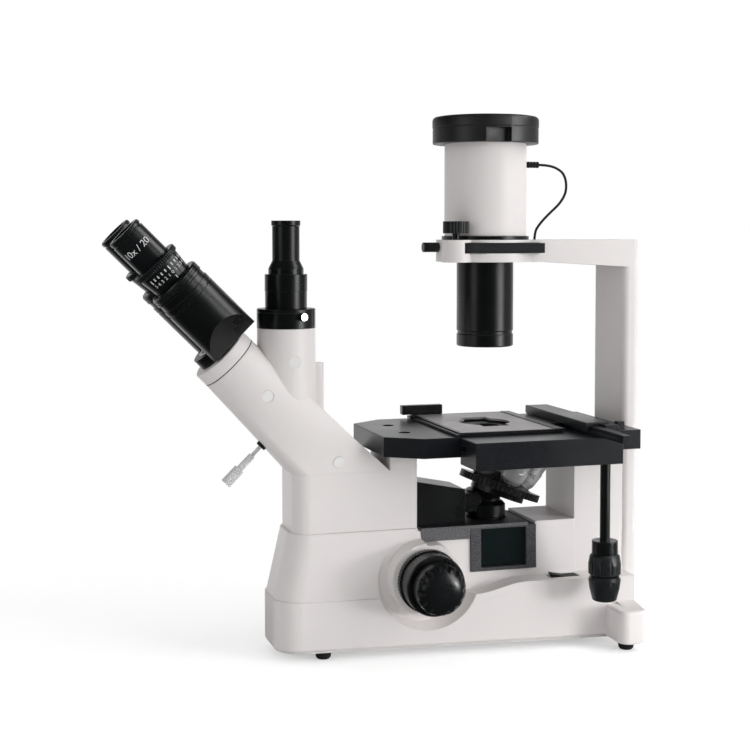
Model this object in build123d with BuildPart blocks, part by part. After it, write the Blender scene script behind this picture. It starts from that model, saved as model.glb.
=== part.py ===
from build123d import *
import math
import os

# An inverted microscope. Millimetres, +Z up, the operator sits at -Y and +X is the operator's right.
# The row's origin is the middle of the footprint. Places are measured from the optical axis.

os.makedirs("parts", exist_ok=True)

# Driving dimensions
axis_x = -24.8  # optical axis of objective and condenser
axis_y = 104.7
overrun = 1.0  # how far a cut runs past what it cuts
slide_gap = 0.1  # flat faces that slide on each other
body_gap = 0.3  # faces of different pieces that pass close by
fit_gap = 0.05  # radial clearance of a shaft in its bore

# Heights
foot_height = 7.2
cover_thick = 1.8
base_low = foot_height + cover_thick
ledge_height = 64.0
step_drop = 9.4  # from the ledge down to the plinth's front part
step_height = ledge_height - step_drop
deck_height = 114.3
column_height = 168.0
stage_low = 183.9
stage_thick = 18.0
stage_high = stage_low + stage_thick
arm_high = 378.0
arm_thick_front = 20.5
arm_thick_rear = 25.5

# Plan of the base
plinth_front = -210.0
plinth_front_half = 36.0
plinth_rear_half = 65.0
wing_front = 97.0
wing_rear = 126.0
wing_half = 97.0
wing_height = 38.6
body_half = 33.5
body_flare = 2.0
column_front = -193.0
column_rear = -78.0
column_half = 31.0
head_rear = -103.5
box_front = 78.5
box_rear = 128.5
box_half = 33.0
upright_thick = 16.5
casting_wall = 5.0

# Focus drive
focus_y = -75.2
focus_z = 70.6
focus_pitch_radius = 7.0
focus_shaft_radius = 6.0
fine_shaft_radius = 3.2
boss_radius = 33.0
boss_face = 52.0
coarse_radius = 27.3
coarse_face = 77.5
fine_radius = 22.9
fine_face = 102.0

# Head
tube_angle = 45.0
tube_radius = 28.5
hub_y = -246.0
hub_z = 268.3
port_y = -193.0
port_radius = 26.3
port_top = 298.7
eye_swing = 35.0  # from the hinge axis to an eyepiece axis
eye_half = 32.0  # half of the distance between the eyepieces

# Mechanical stage
carriage_near = 110.0
carriage_front = -50.5
carriage_rear = 90.6
carriage_low = 177.7
carriage_high = stage_high + slide_gap
stem_x = 90.6
stem_y = 82.4
cross_pitch_radius = 6.0
along_pitch_radius = 7.0

# Illumination
lamp_radius = 38.5
cap_radius = 50.0
cap_low = 467.6
cap_high = 492.9
barrel_radius = 26.7
barrel_low = 278.0


def level(height):
    """The horizontal plane at a height, with its origin on the optical axis."""
    return Plane(origin=(axis_x, axis_y, height))


def side(x):
    """The upright plane x to the right of the optical axis: local x is Y, local y is Z."""
    return Plane(origin=(axis_x + x, axis_y, 0), x_dir=(0, 1, 0), z_dir=(1, 0, 0))


def across(y):
    """The upright plane y behind the optical axis, seen from the front."""
    return Plane(origin=(axis_x, axis_y + y, 0), x_dir=(1, 0, 0), z_dir=(0, -1, 0))


def moved_plane(plane, x, y, z=0):
    """The same plane with its origin at a local place."""
    return Plane(origin=plane.from_local_coords((x, y, z)), x_dir=plane.x_dir, z_dir=plane.z_dir)


def focus_plane(hand):
    """The plane across the focus spindle that faces the right (1) or the left (-1)."""
    middle = side(0).from_local_coords((focus_y, focus_z, 0))
    return Plane(origin=middle, x_dir=(0, hand, 0), z_dir=(hand, 0, 0))


def spun(plane, outline):
    """A solid turned about a plane's normal, from (radius, height) points."""
    section = Plane(origin=plane.origin, x_dir=plane.x_dir, z_dir=-plane.y_dir)
    with BuildPart() as piece:
        with BuildSketch(section):
            with BuildLine():
                Polyline(*outline, close=True)
            make_face()
        revolve(axis=Axis(plane.origin, plane.z_dir))
    return piece.part


def drum(plane, radius, low, high, bore=0):
    """A round disc or ring between two heights over a plane."""
    return spun(plane, [(bore, low), (radius, low), (radius, high), (bore, high)])


def block(low, high):
    """A box between two corners, measured from the optical axis."""
    size = [b - a for a, b in zip(low, high)]
    middle = [(a + b) / 2 for a, b in zip(low, high)]
    with BuildPart() as piece:
        with Locations((axis_x + middle[0], axis_y + middle[1], middle[2])):
            Box(*size)
    return piece.part


def fluted(plane, radius, low, high, count, flute, depth):
    """A drum with round flutes cut along its rim."""
    with BuildPart() as piece:
        add(drum(plane, radius, low, high))
        with BuildSketch(plane.offset(low)):
            with PolarLocations(radius + flute - depth, count):
                Circle(flute)
        extrude(amount=high - low, mode=Mode.SUBTRACT)
    return piece.part


# Teeth shared by the three rack and pinion drives
tooth_high = 0.7
tooth_deep = 0.9
tip_share = 0.15
root_share = 0.29


def pinion(plane, pitch_radius, count, low, high):
    """A small spur gear between two heights over a plane."""
    pitch = 2 * math.pi * pitch_radius / count
    root = pitch_radius - tooth_deep
    tip = pitch_radius + tooth_high
    with BuildPart() as piece:
        with BuildSketch(plane.offset(low)):
            Circle(root)
            with PolarLocations(0, count):
                Polygon(
                    (root - tooth_deep, -pitch * root_share),
                    (root, -pitch * root_share),
                    (tip, -pitch * tip_share),
                    (tip, pitch * tip_share),
                    (root, pitch * root_share),
                    (root - tooth_deep, pitch * root_share),
                    align=None,
                )
        extrude(amount=high - low)
    return piece.part


def rack_teeth(plane, pitch, count, width):
    """A row of teeth along a plane's x, standing up from its pitch line, half a pitch off its origin."""
    with BuildPart() as piece:
        with BuildSketch(plane):
            with Locations(*[((step - (count - 1) / 2) * pitch, 0) for step in range(count)]):
                Polygon(
                    (-pitch * root_share, -tooth_deep),
                    (-pitch * tip_share, tooth_high),
                    (pitch * tip_share, tooth_high),
                    (pitch * root_share, -tooth_deep),
                    align=None,
                )
        extrude(amount=width / 2, both=True)
    return piece.part


# Base casting: plinth, sloping body, column, rear box, foot wings and flared pillar foot
plinth_corner = 24.0
body_corner = 22.0
column_corner = 15.0
wing_corner = 9.0
edge_round = 3.0
front_lean = 14.0
step_inset = 1.0
rise_start = -30.0
rise_end = 22.0
dish_floor = 37.5
dish_inner = 41.0
dish_outer = 51.0
dish_edge = 55.0
flare_front = 108.0
flare_half = 80.0
flare_top = 128.0
flare_pull_share = 0.6
carriage_way = 16.0
light_y = -148.0
window_front = -27.0
window_rear = 38.5
window_low = 71.0
skirt_tall = 12.3
skirt_low = deck_height - skirt_tall
skirt_in = body_half + 0.5
skirt_out = skirt_in + 1.7
skirt_front = -75.0
deck_drop = 2.5
switch_y = 61.7
switch_x = 46.0
switch_long = 30.0
switch_wide = 12.0
switch_deep = 9.0
rocker_z = ledge_height - switch_deep / 2
rocker_pin = 1.5
rocker_pin_half = 8.5
dial_y = 60.0
dial_z = 36.0
dial_stem = 3.0
dial_stem_long = 14.0
inlet_x = -50.0
inlet_z = 24.0
inlet_wide = 27.0
inlet_high = 20.0
inlet_deep = 20.0
cavity_top = step_height - casting_wall
post_half = 5.0
post_front = -67.4
post_rear = -58.0
guide_half = 10.0
guide_front = -64.0
guide_rear = -50.0
guide_low = 50.0
bar_low = 92.0
bar_high = 104.0
port_bore = 15.0
half_slope = (plinth_rear_half - plinth_front_half) / (wing_front - plinth_front)
half_at_knob = plinth_front_half + half_slope * (focus_y - plinth_front)

with BuildPart() as foot_wings:
    with BuildSketch(level(base_low)):
        with Locations((0, (wing_front + wing_rear) / 2)):
            RectangleRounded(2 * wing_half, wing_rear - wing_front, wing_corner)
    extrude(amount=wing_height - base_low)
    fillet(foot_wings.faces().sort_by(Axis.Z)[-1].edges(), edge_round)

with BuildPart() as base_casting:
    # Plinth, with its top edge stepping up behind the knob
    with BuildSketch(level(base_low)):
        with BuildLine():
            Polyline(
                (-plinth_front_half, plinth_front),
                (plinth_front_half, plinth_front),
                (plinth_rear_half, wing_front),
                (plinth_rear_half, wing_rear),
                (-plinth_rear_half, wing_rear),
                (-plinth_rear_half, wing_front),
                close=True,
            )
        plinth = make_face()
        fillet(plinth.vertices().group_by(Axis.Y)[0], plinth_corner)
    extrude(amount=ledge_height - base_low)
    fillet(base_casting.faces().sort_by(Axis.Z)[0].edges().group_by(Axis.Y)[0], edge_round)
    with BuildSketch(side(0)):
        with BuildLine():
            Line((plinth_front - overrun, step_height), (rise_start, step_height))
            Spline((rise_start, step_height), (rise_end, ledge_height), tangents=[(1, 0), (1, 0)])
            Polyline(
                (rise_end, ledge_height),
                (rise_end, ledge_height + overrun),
                (plinth_front - overrun, ledge_height + overrun),
                (plinth_front - overrun, step_height),
            )
        make_face()
    extrude(amount=wing_half, both=True, mode=Mode.SUBTRACT)
    # Sloping body in front of the focus axis
    with BuildSketch(level(step_height)):
        with BuildLine():
            Polyline(
                (-plinth_front_half + step_inset, plinth_front + step_inset),
                (plinth_front_half - step_inset, plinth_front + step_inset),
                (half_at_knob - step_inset, focus_y),
                (step_inset - half_at_knob, focus_y),
                close=True,
            )
        lower = make_face()
        fillet(lower.vertices().group_by(Axis.Y)[0], plinth_corner)
    with BuildSketch(level(deck_height)):
        with BuildLine():
            Polyline(
                (-body_half, plinth_front + front_lean),
                (body_half, plinth_front + front_lean),
                (body_half, focus_y),
                (-body_half, focus_y),
                close=True,
            )
        upper = make_face()
        fillet(upper.vertices().group_by(Axis.Y)[0], body_corner)
    loft(ruled=True)
    # Upright body behind the focus axis
    with BuildSketch(across(focus_y)):
        with BuildLine():
            Polyline(
                (-body_half - body_flare, step_height - overrun),
                (body_half + body_flare, step_height - overrun),
                (body_half, deck_height),
                (-body_half, deck_height),
                close=True,
            )
        make_face()
    extrude(amount=focus_y - box_front)
    # Dish round the knob, with the bearing boss standing in it, on both sides
    for hand in (1, -1):
        add(
            spun(
                focus_plane(hand),
                [
                    (0, dish_floor),
                    (dish_inner, dish_floor),
                    (dish_outer, dish_edge),
                    (0, dish_edge),
                ],
            ),
            mode=Mode.SUBTRACT,
        )
        add(
            spun(
                focus_plane(hand),
                [
                    (0, body_half - casting_wall),
                    (boss_radius + body_flare, body_half - casting_wall),
                    (boss_radius, boss_face),
                    (0, boss_face),
                ],
            )
        )
    # Column that carries the head, and its rear part under the stage
    with BuildSketch(level(deck_height - overrun)):
        with BuildLine():
            Polyline(
                (-column_half, column_front),
                (column_half, column_front),
                (column_half, column_rear),
                (-column_half, column_rear),
                close=True,
            )
        foot = make_face()
        fillet(foot.vertices().group_by(Axis.Y)[0], column_corner)
    extrude(amount=column_height - deck_height + overrun)
    add(block((-column_half, head_rear, column_height), (column_half, column_rear, stage_low)))
    # Rear box under the stage
    add(block((-box_half, box_front, ledge_height), (box_half, box_rear, stage_low)))
    add(block((-box_half, wing_front, base_low), (box_half, box_rear, ledge_height)))
    add(foot_wings.part)
    # Concave flare from the pillar down to the wings
    for hand in (1, -1):
        with BuildSketch(across(wing_rear)):
            with BuildLine():
                Line((hand * box_half, flare_top), (0, flare_top))
                Line((0, flare_top), (0, wing_height))
                Line((0, wing_height), (hand * flare_half, wing_height))
                Spline(
                    (hand * flare_half, wing_height),
                    (hand * box_half, flare_top),
                    tangents=[(-hand * flare_pull_share, 0), (0, 1)],
                )
            make_face()
        extrude(amount=wing_rear - flare_front)
    # Hollow inside, open below
    with BuildSketch(level(base_low)):
        with BuildLine():
            Polyline(
                (casting_wall - plinth_front_half, plinth_front + 2 * casting_wall),
                (plinth_front_half - casting_wall, plinth_front + 2 * casting_wall),
                (plinth_front_half - casting_wall, focus_y + dish_edge),
                (plinth_rear_half - 2 * casting_wall, wing_front),
                (2 * casting_wall - plinth_rear_half, wing_front),
                (casting_wall - plinth_front_half, focus_y + dish_edge),
                close=True,
            )
        make_face()
    extrude(amount=cavity_top - base_low, mode=Mode.SUBTRACT)
    inner_half = body_half - casting_wall
    add(
        block(
            (-inner_half, plinth_front + front_lean + 2 * casting_wall, cavity_top - overrun),
            (inner_half, box_front - casting_wall, deck_height - casting_wall),
        ),
        mode=Mode.SUBTRACT,
    )
    add(
        block(
            (-column_half + casting_wall, column_front + 2 * casting_wall, deck_height - 2 * casting_wall),
            (column_half - casting_wall, head_rear - casting_wall, column_height - casting_wall),
        ),
        mode=Mode.SUBTRACT,
    )
    # Seat of the window unit and of the deck cover
    add(
        block(
            (-boss_face, window_front, window_low),
            (boss_face, window_rear, deck_height + overrun),
        ),
        mode=Mode.SUBTRACT,
    )
    add(
        block(
            (-boss_face, column_rear, deck_height - deck_drop),
            (boss_face, window_front + overrun, deck_height + overrun),
        ),
        mode=Mode.SUBTRACT,
    )
    for x in (-1, 1):
        low, high = sorted((x * body_half, x * (boss_face + overrun)))
        add(
            block((low, skirt_front - body_gap, skirt_low - body_gap), (high, window_front, deck_height)),
            mode=Mode.SUBTRACT,
        )
    # Way through the deck for the focus carriage
    add(
        block(
            (-carriage_way, column_rear + casting_wall, deck_height - 2 * casting_wall),
            (carriage_way, window_front, deck_height),
        ),
        mode=Mode.SUBTRACT,
    )
    # Light port up into the head
    add(
        drum(moved_plane(level(0), 0, light_y), port_bore, column_height - 2 * casting_wall, column_height),
        mode=Mode.SUBTRACT,
    )
    # Switch recess in the ledge, dial bore in the left wall, inlet pocket at the back
    add(
        block(
            (switch_x - switch_wide / 2, switch_y - switch_long / 2, ledge_height - switch_deep),
            (switch_x + switch_wide / 2, switch_y + switch_long / 2, ledge_height + overrun),
        ),
        mode=Mode.SUBTRACT,
    )
    switch_axle = moved_plane(side(0), switch_y, rocker_z)
    add(
        drum(switch_axle, rocker_pin + fit_gap, switch_x - rocker_pin_half, switch_x + rocker_pin_half),
        mode=Mode.SUBTRACT,
    )
    add(
        drum(moved_plane(side(0), dial_y, dial_z), dial_stem + fit_gap, -wing_half, casting_wall - body_half),
        mode=Mode.SUBTRACT,
    )
    add(
        block(
            (inlet_x - inlet_wide / 2, wing_rear - inlet_deep, inlet_z - inlet_high / 2),
            (inlet_x + inlet_wide / 2, wing_rear + overrun, inlet_z + inlet_high / 2),
        ),
        mode=Mode.SUBTRACT,
    )
    # Bearing of the coarse spindle
    add(
        drum(moved_plane(side(0), focus_y, focus_z), focus_shaft_radius + fit_gap, -fine_face, fine_face),
        mode=Mode.SUBTRACT,
    )
    # Cross bar and guide in which the focus carriage slides
    add(block((-inner_half - overrun, post_rear, bar_low), (inner_half + overrun, guide_rear, bar_high)))
    add(block((-guide_half, guide_front, guide_low), (guide_half, guide_rear, bar_high)))
    add(
        block(
            (-post_half - slide_gap, guide_front - overrun, guide_low - overrun),
            (post_half + slide_gap, post_rear + slide_gap, bar_high + overrun),
        ),
        mode=Mode.SUBTRACT,
    )

base_casting.part.label = "base_casting"
export_step(base_casting.part, "parts/base_casting.step")

# Bottom cover, set in from the casting's edge
cover_inset = 3.0

with BuildPart() as base_plate:
    with BuildSketch(level(foot_height)):
        with BuildLine():
            Polyline(
                (cover_inset - plinth_front_half, plinth_front + cover_inset),
                (plinth_front_half - cover_inset, plinth_front + cover_inset),
                (plinth_rear_half - cover_inset, wing_front),
                (plinth_rear_half - cover_inset, wing_rear - cover_inset),
                (cover_inset - plinth_rear_half, wing_rear - cover_inset),
                (cover_inset - plinth_rear_half, wing_front),
                close=True,
            )
        outline = make_face()
        fillet(outline.vertices().group_by(Axis.Y)[0], plinth_corner)
        with Locations((0, (wing_front + wing_rear) / 2)):
            RectangleRounded(
                2 * (wing_half - cover_inset), wing_rear - wing_front - 2 * cover_inset, wing_corner
            )
    extrude(amount=cover_thick)

base_plate.part.label = "base_plate"
export_step(base_plate.part, "parts/base_plate.step")

# Four tapered feet
foot_radius = 8.0
foot_taper = 1.3
foot_front_x = 27.0
foot_front_y = -166.0
foot_rear_x = 80.0
foot_rear_y = 110.0

with BuildPart() as rubber_feet:
    for x in (-1, 1):
        for place in ((foot_front_x, foot_front_y), (foot_rear_x, foot_rear_y)):
            add(
                spun(
                    moved_plane(level(0), x * place[0], place[1]),
                    [
                        (0, 0),
                        (foot_radius - 2 * foot_taper, 0),
                        (foot_radius - foot_taper, foot_taper),
                        (foot_radius, foot_height),
                        (0, foot_height),
                    ],
                )
            )

rubber_feet.part.label = "rubber_feet"
export_step(rubber_feet.part, "parts/rubber_feet.step")

# Upright and arm, one casting with a rounded bracket over the stage
upright_front = box_rear + slide_gap
upright_rear = upright_front + upright_thick
upright_round = 6.0
bracket_radius = 46.4
bracket_low = arm_high - arm_thick_front
lug_x = 32.0
lug_y = -41.0
lug_radius = 13.0
slot_front = -37.0
slot_rear = 42.2
slot_low = 365.6
slot_high = 375.4
neck_radius = 24.0
iris_stem = 3.5
lead_bore = 1.5
lead_deep = 8.0
lead_y = 50.3
screw_z = 371.0
screw_shank = 2.0

with BuildPart() as arm_casting:
    with BuildSketch(side(0)):
        with BuildLine():
            Polyline(
                (upright_rear, wing_height),
                (upright_rear, arm_high),
                (0, arm_high),
                (0, bracket_low),
                (bracket_radius, bracket_low),
                (upright_front, arm_high - arm_thick_rear),
                (upright_front, wing_height),
                close=True,
            )
        make_face()
    extrude(amount=box_half, both=True)
    uprights = arm_casting.edges().filter_by(Axis.Z).group_by(Axis.Y)
    fillet(uprights[-1] + uprights[-2], upright_round)
    with BuildSketch(level(bracket_low)):
        Circle(bracket_radius)
        with Locations((lug_x, lug_y)):
            Circle(lug_radius)
        with Locations((lug_x - lug_radius / 2, lug_y + lug_radius / 2)):
            Circle(lug_radius)
    extrude(amount=arm_thick_front)
    # Bore for the condenser and the lamp's light, in two widths
    add(drum(level(0), neck_radius + fit_gap, bracket_low - overrun, slot_high), mode=Mode.SUBTRACT)
    add(drum(level(0), neck_radius - casting_wall, slot_low, arm_high + overrun), mode=Mode.SUBTRACT)
    # Slot for the filter slide, from the right side
    add(
        block(
            (-bracket_radius - overrun, slot_front, slot_low),
            (bracket_radius + overrun, slot_rear, slot_high),
        ),
        mode=Mode.SUBTRACT,
    )
    # Bore for the clamp screw in the front wall, and for the iris knob in the lug
    clamp_line = moved_plane(across(0), 0, screw_z)
    add(
        drum(clamp_line, screw_shank + fit_gap, -slot_front - overrun, bracket_radius + overrun),
        mode=Mode.SUBTRACT,
    )
    iris = moved_plane(level(0), lug_x, lug_y)
    add(
        drum(iris, iris_stem + fit_gap, bracket_low + casting_wall, arm_high + overrun),
        mode=Mode.SUBTRACT,
    )
    # Hole for the lamp lead
    add(
        drum(moved_plane(level(0), 0, lead_y), lead_bore, arm_high - lead_deep, arm_high + overrun),
        mode=Mode.SUBTRACT,
    )

arm_casting.part.label = "arm_casting"
export_step(arm_casting.part, "parts/arm_casting.step")

# Deck cover: a black plate with a skirt over each side of the deck
carrier_way = 19.0
carrier_y = 2.0
deck_under = deck_height - deck_drop
deck_rear = 30.0

with BuildPart() as deck_cover:
    add(block((-skirt_out, skirt_front, deck_under), (skirt_out, window_front, deck_height)))
    add(block((-skirt_out, window_front, deck_under), (skirt_out, deck_rear, deck_height)))
    for x in (-1, 1):
        low, high = sorted((x * skirt_in, x * skirt_out))
        add(block((low, skirt_front, skirt_low), (high, window_front - body_gap, deck_height)))
    add(
        block(
            (-carriage_way, column_rear, deck_under - overrun),
            (carriage_way, window_front - casting_wall, deck_height + overrun),
        ),
        mode=Mode.SUBTRACT,
    )
    carrier_axis = moved_plane(level(0), 0, carrier_y)
    add(drum(carrier_axis, carrier_way, deck_under - overrun, deck_height + overrun), mode=Mode.SUBTRACT)

deck_cover.part.label = "deck_cover"
export_step(deck_cover.part, "parts/deck_cover.step")

# Window unit through the body, with a pane on each side
frame_wall = 10.0
frame_floor = 3.0
pane_in = 3.0
pane_thick = 1.5
pane_low = window_low + frame_floor
pane_high = deck_under - frame_floor / 2
pane_front = window_front + frame_wall
pane_rear = window_rear - frame_wall
frame_draft = 1.2

with BuildPart() as window_frame:
    with BuildSketch(across(window_front + body_gap)):
        with BuildLine():
            Polyline(
                (-skirt_out - frame_draft, window_low),
                (skirt_out + frame_draft, window_low),
                (skirt_out, deck_under),
                (-skirt_out, deck_under),
                close=True,
            )
        make_face()
    extrude(amount=-(window_rear - window_front - 2 * body_gap))
    # Open from side to side behind the panes
    add(
        block((-wing_half, pane_front, pane_low), (wing_half, pane_rear, pane_high)),
        mode=Mode.SUBTRACT,
    )
    # Ways for the carrier tube from above and for the light towards the front
    add(drum(carrier_axis, carrier_way, pane_low, deck_under + overrun), mode=Mode.SUBTRACT)
    port_line = moved_plane(across(0), 0, (pane_low + pane_high) / 2)
    add(
        drum(port_line, port_bore - overrun, 0, -window_front + overrun),
        mode=Mode.SUBTRACT,
    )

window_frame.part.label = "window_frame"
export_step(window_frame.part, "parts/window_frame.step")

with BuildPart() as window_pane:
    for x in (-1, 1):
        low, high = sorted((x * (skirt_out - pane_in - pane_thick), x * (skirt_out - pane_in)))
        add(block((low, pane_front, pane_low), (high, pane_rear, pane_high)))

window_pane.part.label = "window_pane"
export_step(window_pane.part, "parts/window_pane.step")

# Mirror block under the objective
mirror_half = 13.0

with BuildPart() as lower_mirror:
    with BuildSketch(side(0)):
        with BuildLine():
            Polyline(
                (-mirror_half, pane_low),
                (mirror_half, pane_low),
                (mirror_half, pane_low + 2 * mirror_half),
                close=True,
            )
        make_face()
    extrude(amount=mirror_half, both=True)

lower_mirror.part.label = "lower_mirror"
export_step(lower_mirror.part, "parts/lower_mirror.step")

# Sloping cover over the focus carriage, open at the back for its arm
cover_half = 20.6
cover_front = column_rear + body_gap
cover_rear = window_front
cover_high_front = 155.5
cover_high_rear = 145.5
cover_wall = 2.0
cover_slot = 13.5

with BuildPart() as carriage_cover:
    with BuildSketch(side(0)):
        with BuildLine():
            Polyline(
                (cover_front, deck_height),
                (cover_rear, deck_height),
                (cover_rear, cover_high_rear),
                (cover_front, cover_high_front),
                close=True,
            )
        make_face()
    extrude(amount=cover_half, both=True)
    fillet(carriage_cover.faces().sort_by(Axis.Z)[-1].edges().filter_by(Axis.X), cover_wall / 2)
    with BuildSketch(side(0)):
        with BuildLine():
            Polyline(
                (cover_front + cover_wall, deck_height),
                (cover_rear - cover_wall, deck_height),
                (cover_rear - cover_wall, cover_high_rear - cover_wall),
                (cover_front + cover_wall, cover_high_front - cover_wall),
                close=True,
            )
        make_face()
    extrude(amount=cover_half - cover_wall, both=True, mode=Mode.SUBTRACT)
    add(
        block(
            (-cover_slot, cover_rear - cover_wall - overrun, deck_height - overrun),
            (cover_slot, cover_rear + overrun, cover_high_rear - cover_wall),
        ),
        mode=Mode.SUBTRACT,
    )

carriage_cover.part.label = "carriage_cover"
export_step(carriage_cover.part, "parts/carriage_cover.step")

# Electrics: supply, inlet, rocker and dial
supply_half = 30.0
supply_front = 12.0
supply_rear = 88.0
supply_high = 44.0
supply_round = 2.0

with BuildPart() as power_supply:
    add(block((-supply_half, supply_front, base_low), (supply_half, supply_rear, supply_high)))
    chamfer(power_supply.faces().sort_by(Axis.Z)[-1].edges(), supply_round)

power_supply.part.label = "power_supply"
export_step(power_supply.part, "parts/power_supply.step")

flange_over = 2.5
flange_thick = 1.6
socket_wall = 2.0
socket_deep = 14.0
contact_long = 8.0
contact_wide = 2.0
contact_step = 7.0

with BuildPart() as power_inlet:
    add(
        block(
            (inlet_x - inlet_wide / 2, wing_rear - inlet_deep, inlet_z - inlet_high / 2),
            (inlet_x + inlet_wide / 2, wing_rear, inlet_z + inlet_high / 2),
        )
    )
    flange_half_x = inlet_wide / 2 + flange_over
    flange_half_z = inlet_high / 2 + flange_over
    add(
        block(
            (inlet_x - flange_half_x, wing_rear, inlet_z - flange_half_z),
            (inlet_x + flange_half_x, wing_rear + flange_thick, inlet_z + flange_half_z),
        )
    )
    socket_bottom = wing_rear + flange_thick - socket_deep
    socket_half_x = inlet_wide / 2 - socket_wall
    socket_half_z = inlet_high / 2 - socket_wall
    add(
        block(
            (inlet_x - socket_half_x, socket_bottom, inlet_z - socket_half_z),
            (inlet_x + socket_half_x, wing_rear + 2 * flange_thick, inlet_z + socket_half_z),
        ),
        mode=Mode.SUBTRACT,
    )
    for place in ((-contact_step, -contact_wide), (0, contact_wide), (contact_step, -contact_wide)):
        add(
            block(
                (
                    inlet_x + place[0] - contact_wide / 2,
                    socket_bottom - contact_wide,
                    inlet_z + place[1] - contact_wide,
                ),
                (
                    inlet_x + place[0] + contact_wide / 2,
                    socket_bottom + contact_long,
                    inlet_z + place[1] + contact_wide,
                ),
            )
        )

power_inlet.part.label = "power_inlet"
export_step(power_inlet.part, "parts/power_inlet.step")

rocker_rise = 3.2
rocker_inset = 1.6

with BuildPart() as rocker_switch:
    # Two flat wings at an angle over a round belly, turned about the switch's axle
    with BuildSketch(side(switch_x)):
        with BuildLine():
            Polyline(
                (switch_y - switch_long / 2 + rocker_inset, ledge_height + rocker_rise),
                (switch_y, ledge_height + body_gap),
                (switch_y + switch_long / 2 - rocker_inset, ledge_height + body_gap),
                (switch_y + switch_long / 4, rocker_z - rocker_rise / 2),
                (switch_y - switch_long / 4, rocker_z - rocker_rise / 2),
                close=True,
            )
        make_face()
    extrude(amount=switch_wide / 2 - body_gap, both=True)
    pin_half = rocker_pin_half - body_gap
    add(drum(switch_axle, rocker_pin, switch_x - pin_half, switch_x + pin_half))

rocker_switch.part.label = "rocker_switch"
export_step(rocker_switch.part, "parts/rocker_switch.step")

dial_radius = 11.0
dial_thick = 10.0
dial_flutes = 18
dial_flute_deep = 0.5
dial_face = -(plinth_front_half + half_slope * (dial_y + dial_radius - plinth_front)) - body_gap

with BuildPart() as brightness_dial:
    dial_plane = moved_plane(side(0), dial_y, dial_z)
    dial_back = dial_face - dial_thick
    add(fluted(dial_plane, dial_radius, dial_back, dial_face, dial_flutes, overrun, dial_flute_deep))
    add(drum(dial_plane, dial_stem, dial_face, dial_face + dial_stem_long))

brightness_dial.part.label = "brightness_dial"
export_step(brightness_dial.part, "parts/brightness_dial.step")

# Head casting: a tube swept up from the column to the hinge, with the camera port's boss
turn = math.radians(tube_angle)
hub = Plane(
    origin=(axis_x, axis_y + hub_y, hub_z), x_dir=(1, 0, 0), z_dir=(0, -math.sin(turn), math.cos(turn))
)
port = Plane(origin=(axis_x, axis_y + port_y, 0))
head_corner_rear = 9.0
head_flat = 0.5  # short straight left between the round corners at the hinge
port_foot_radius = 27.2
rib_y = -162.5
rib_radius = 4.4
rib_top = 266.0
eye_bore = 14.0
prism_half = 9.0
prism_gap = 0.6
prism_travel = 12.0
rod_radius = 1.8
rod_bore = 3.2
split_t = (hub_y - port_y) * math.sqrt(2)
split = moved_plane(hub, 0, 0, split_t)
plug_radius = 5.2
plug_deep = 1.2
plug_proud = 0.25
# Places of the plugs as (Y, Z, distance of the face from the mid plane)
plug_places = [
    (port_y - 23.5, 239.8, tube_radius),
    (port_y + 2.0, 269.3, port_radius),
    (port_y + 41.2, 178.1, column_half),
]

with BuildPart() as head_casting:
    with BuildSketch(level(column_height)):
        with Locations((0, (column_front + head_rear) / 2)):
            seat = Rectangle(2 * column_half, head_rear - column_front)
        fillet(seat.vertices().group_by(Axis.Y)[0], column_corner)
        fillet(seat.vertices().group_by(Axis.Y)[-1], head_corner_rear)
    with BuildSketch(hub):
        ring = Rectangle(2 * tube_radius, 2 * tube_radius)
        fillet(ring.vertices(), tube_radius - head_flat)
    loft()
    add(
        spun(
            port,
            [
                (0, hub_z - 2 * tube_radius),
                (port_foot_radius, hub_z - 2 * tube_radius),
                (port_radius, port_top),
                (0, port_top),
            ],
        )
    )
    # Rib behind the boss
    with BuildSketch(level(column_height + tube_radius)):
        with Locations((0, rib_y)):
            Circle(rib_radius)
        with Locations((0, rib_y - rib_radius)):
            Rectangle(2 * rib_radius, 2 * rib_radius)
    extrude(amount=rib_top - column_height - tube_radius)
    # Light ways: up from the column, on to the hinge, and up to the camera port
    add(drum(hub, eye_bore, split_t, overrun), mode=Mode.SUBTRACT)
    add(drum(port, eye_bore, hub_z - 2 * tube_radius, port_top + overrun), mode=Mode.SUBTRACT)
    add(
        drum(moved_plane(level(0), 0, light_y), eye_bore, column_height - overrun, column_height + eye_bore),
        mode=Mode.SUBTRACT,
    )
    # Room for the sliding prism, and the rod's bore through the underside
    prism_room = prism_half + prism_gap
    with BuildSketch(Plane(origin=split.origin, x_dir=split.x_dir, z_dir=split.y_dir).offset(-prism_room)):
        Rectangle(2 * prism_room, 2 * prism_room)
    extrude(amount=2 * prism_room + prism_travel, mode=Mode.SUBTRACT)
    add(
        drum(Plane(origin=split.origin, x_dir=split.x_dir, z_dir=-split.y_dir), rod_bore, 0, 2 * tube_radius),
        mode=Mode.SUBTRACT,
    )
    for y, z, face in plug_places:
        plug = moved_plane(side(0), y, z)
        for low in (face - plug_deep, -face - tube_radius):
            add(drum(plug, plug_radius + fit_gap, low, low + plug_deep + tube_radius), mode=Mode.SUBTRACT)

head_casting.part.label = "head_casting"
export_step(head_casting.part, "parts/head_casting.step")

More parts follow.
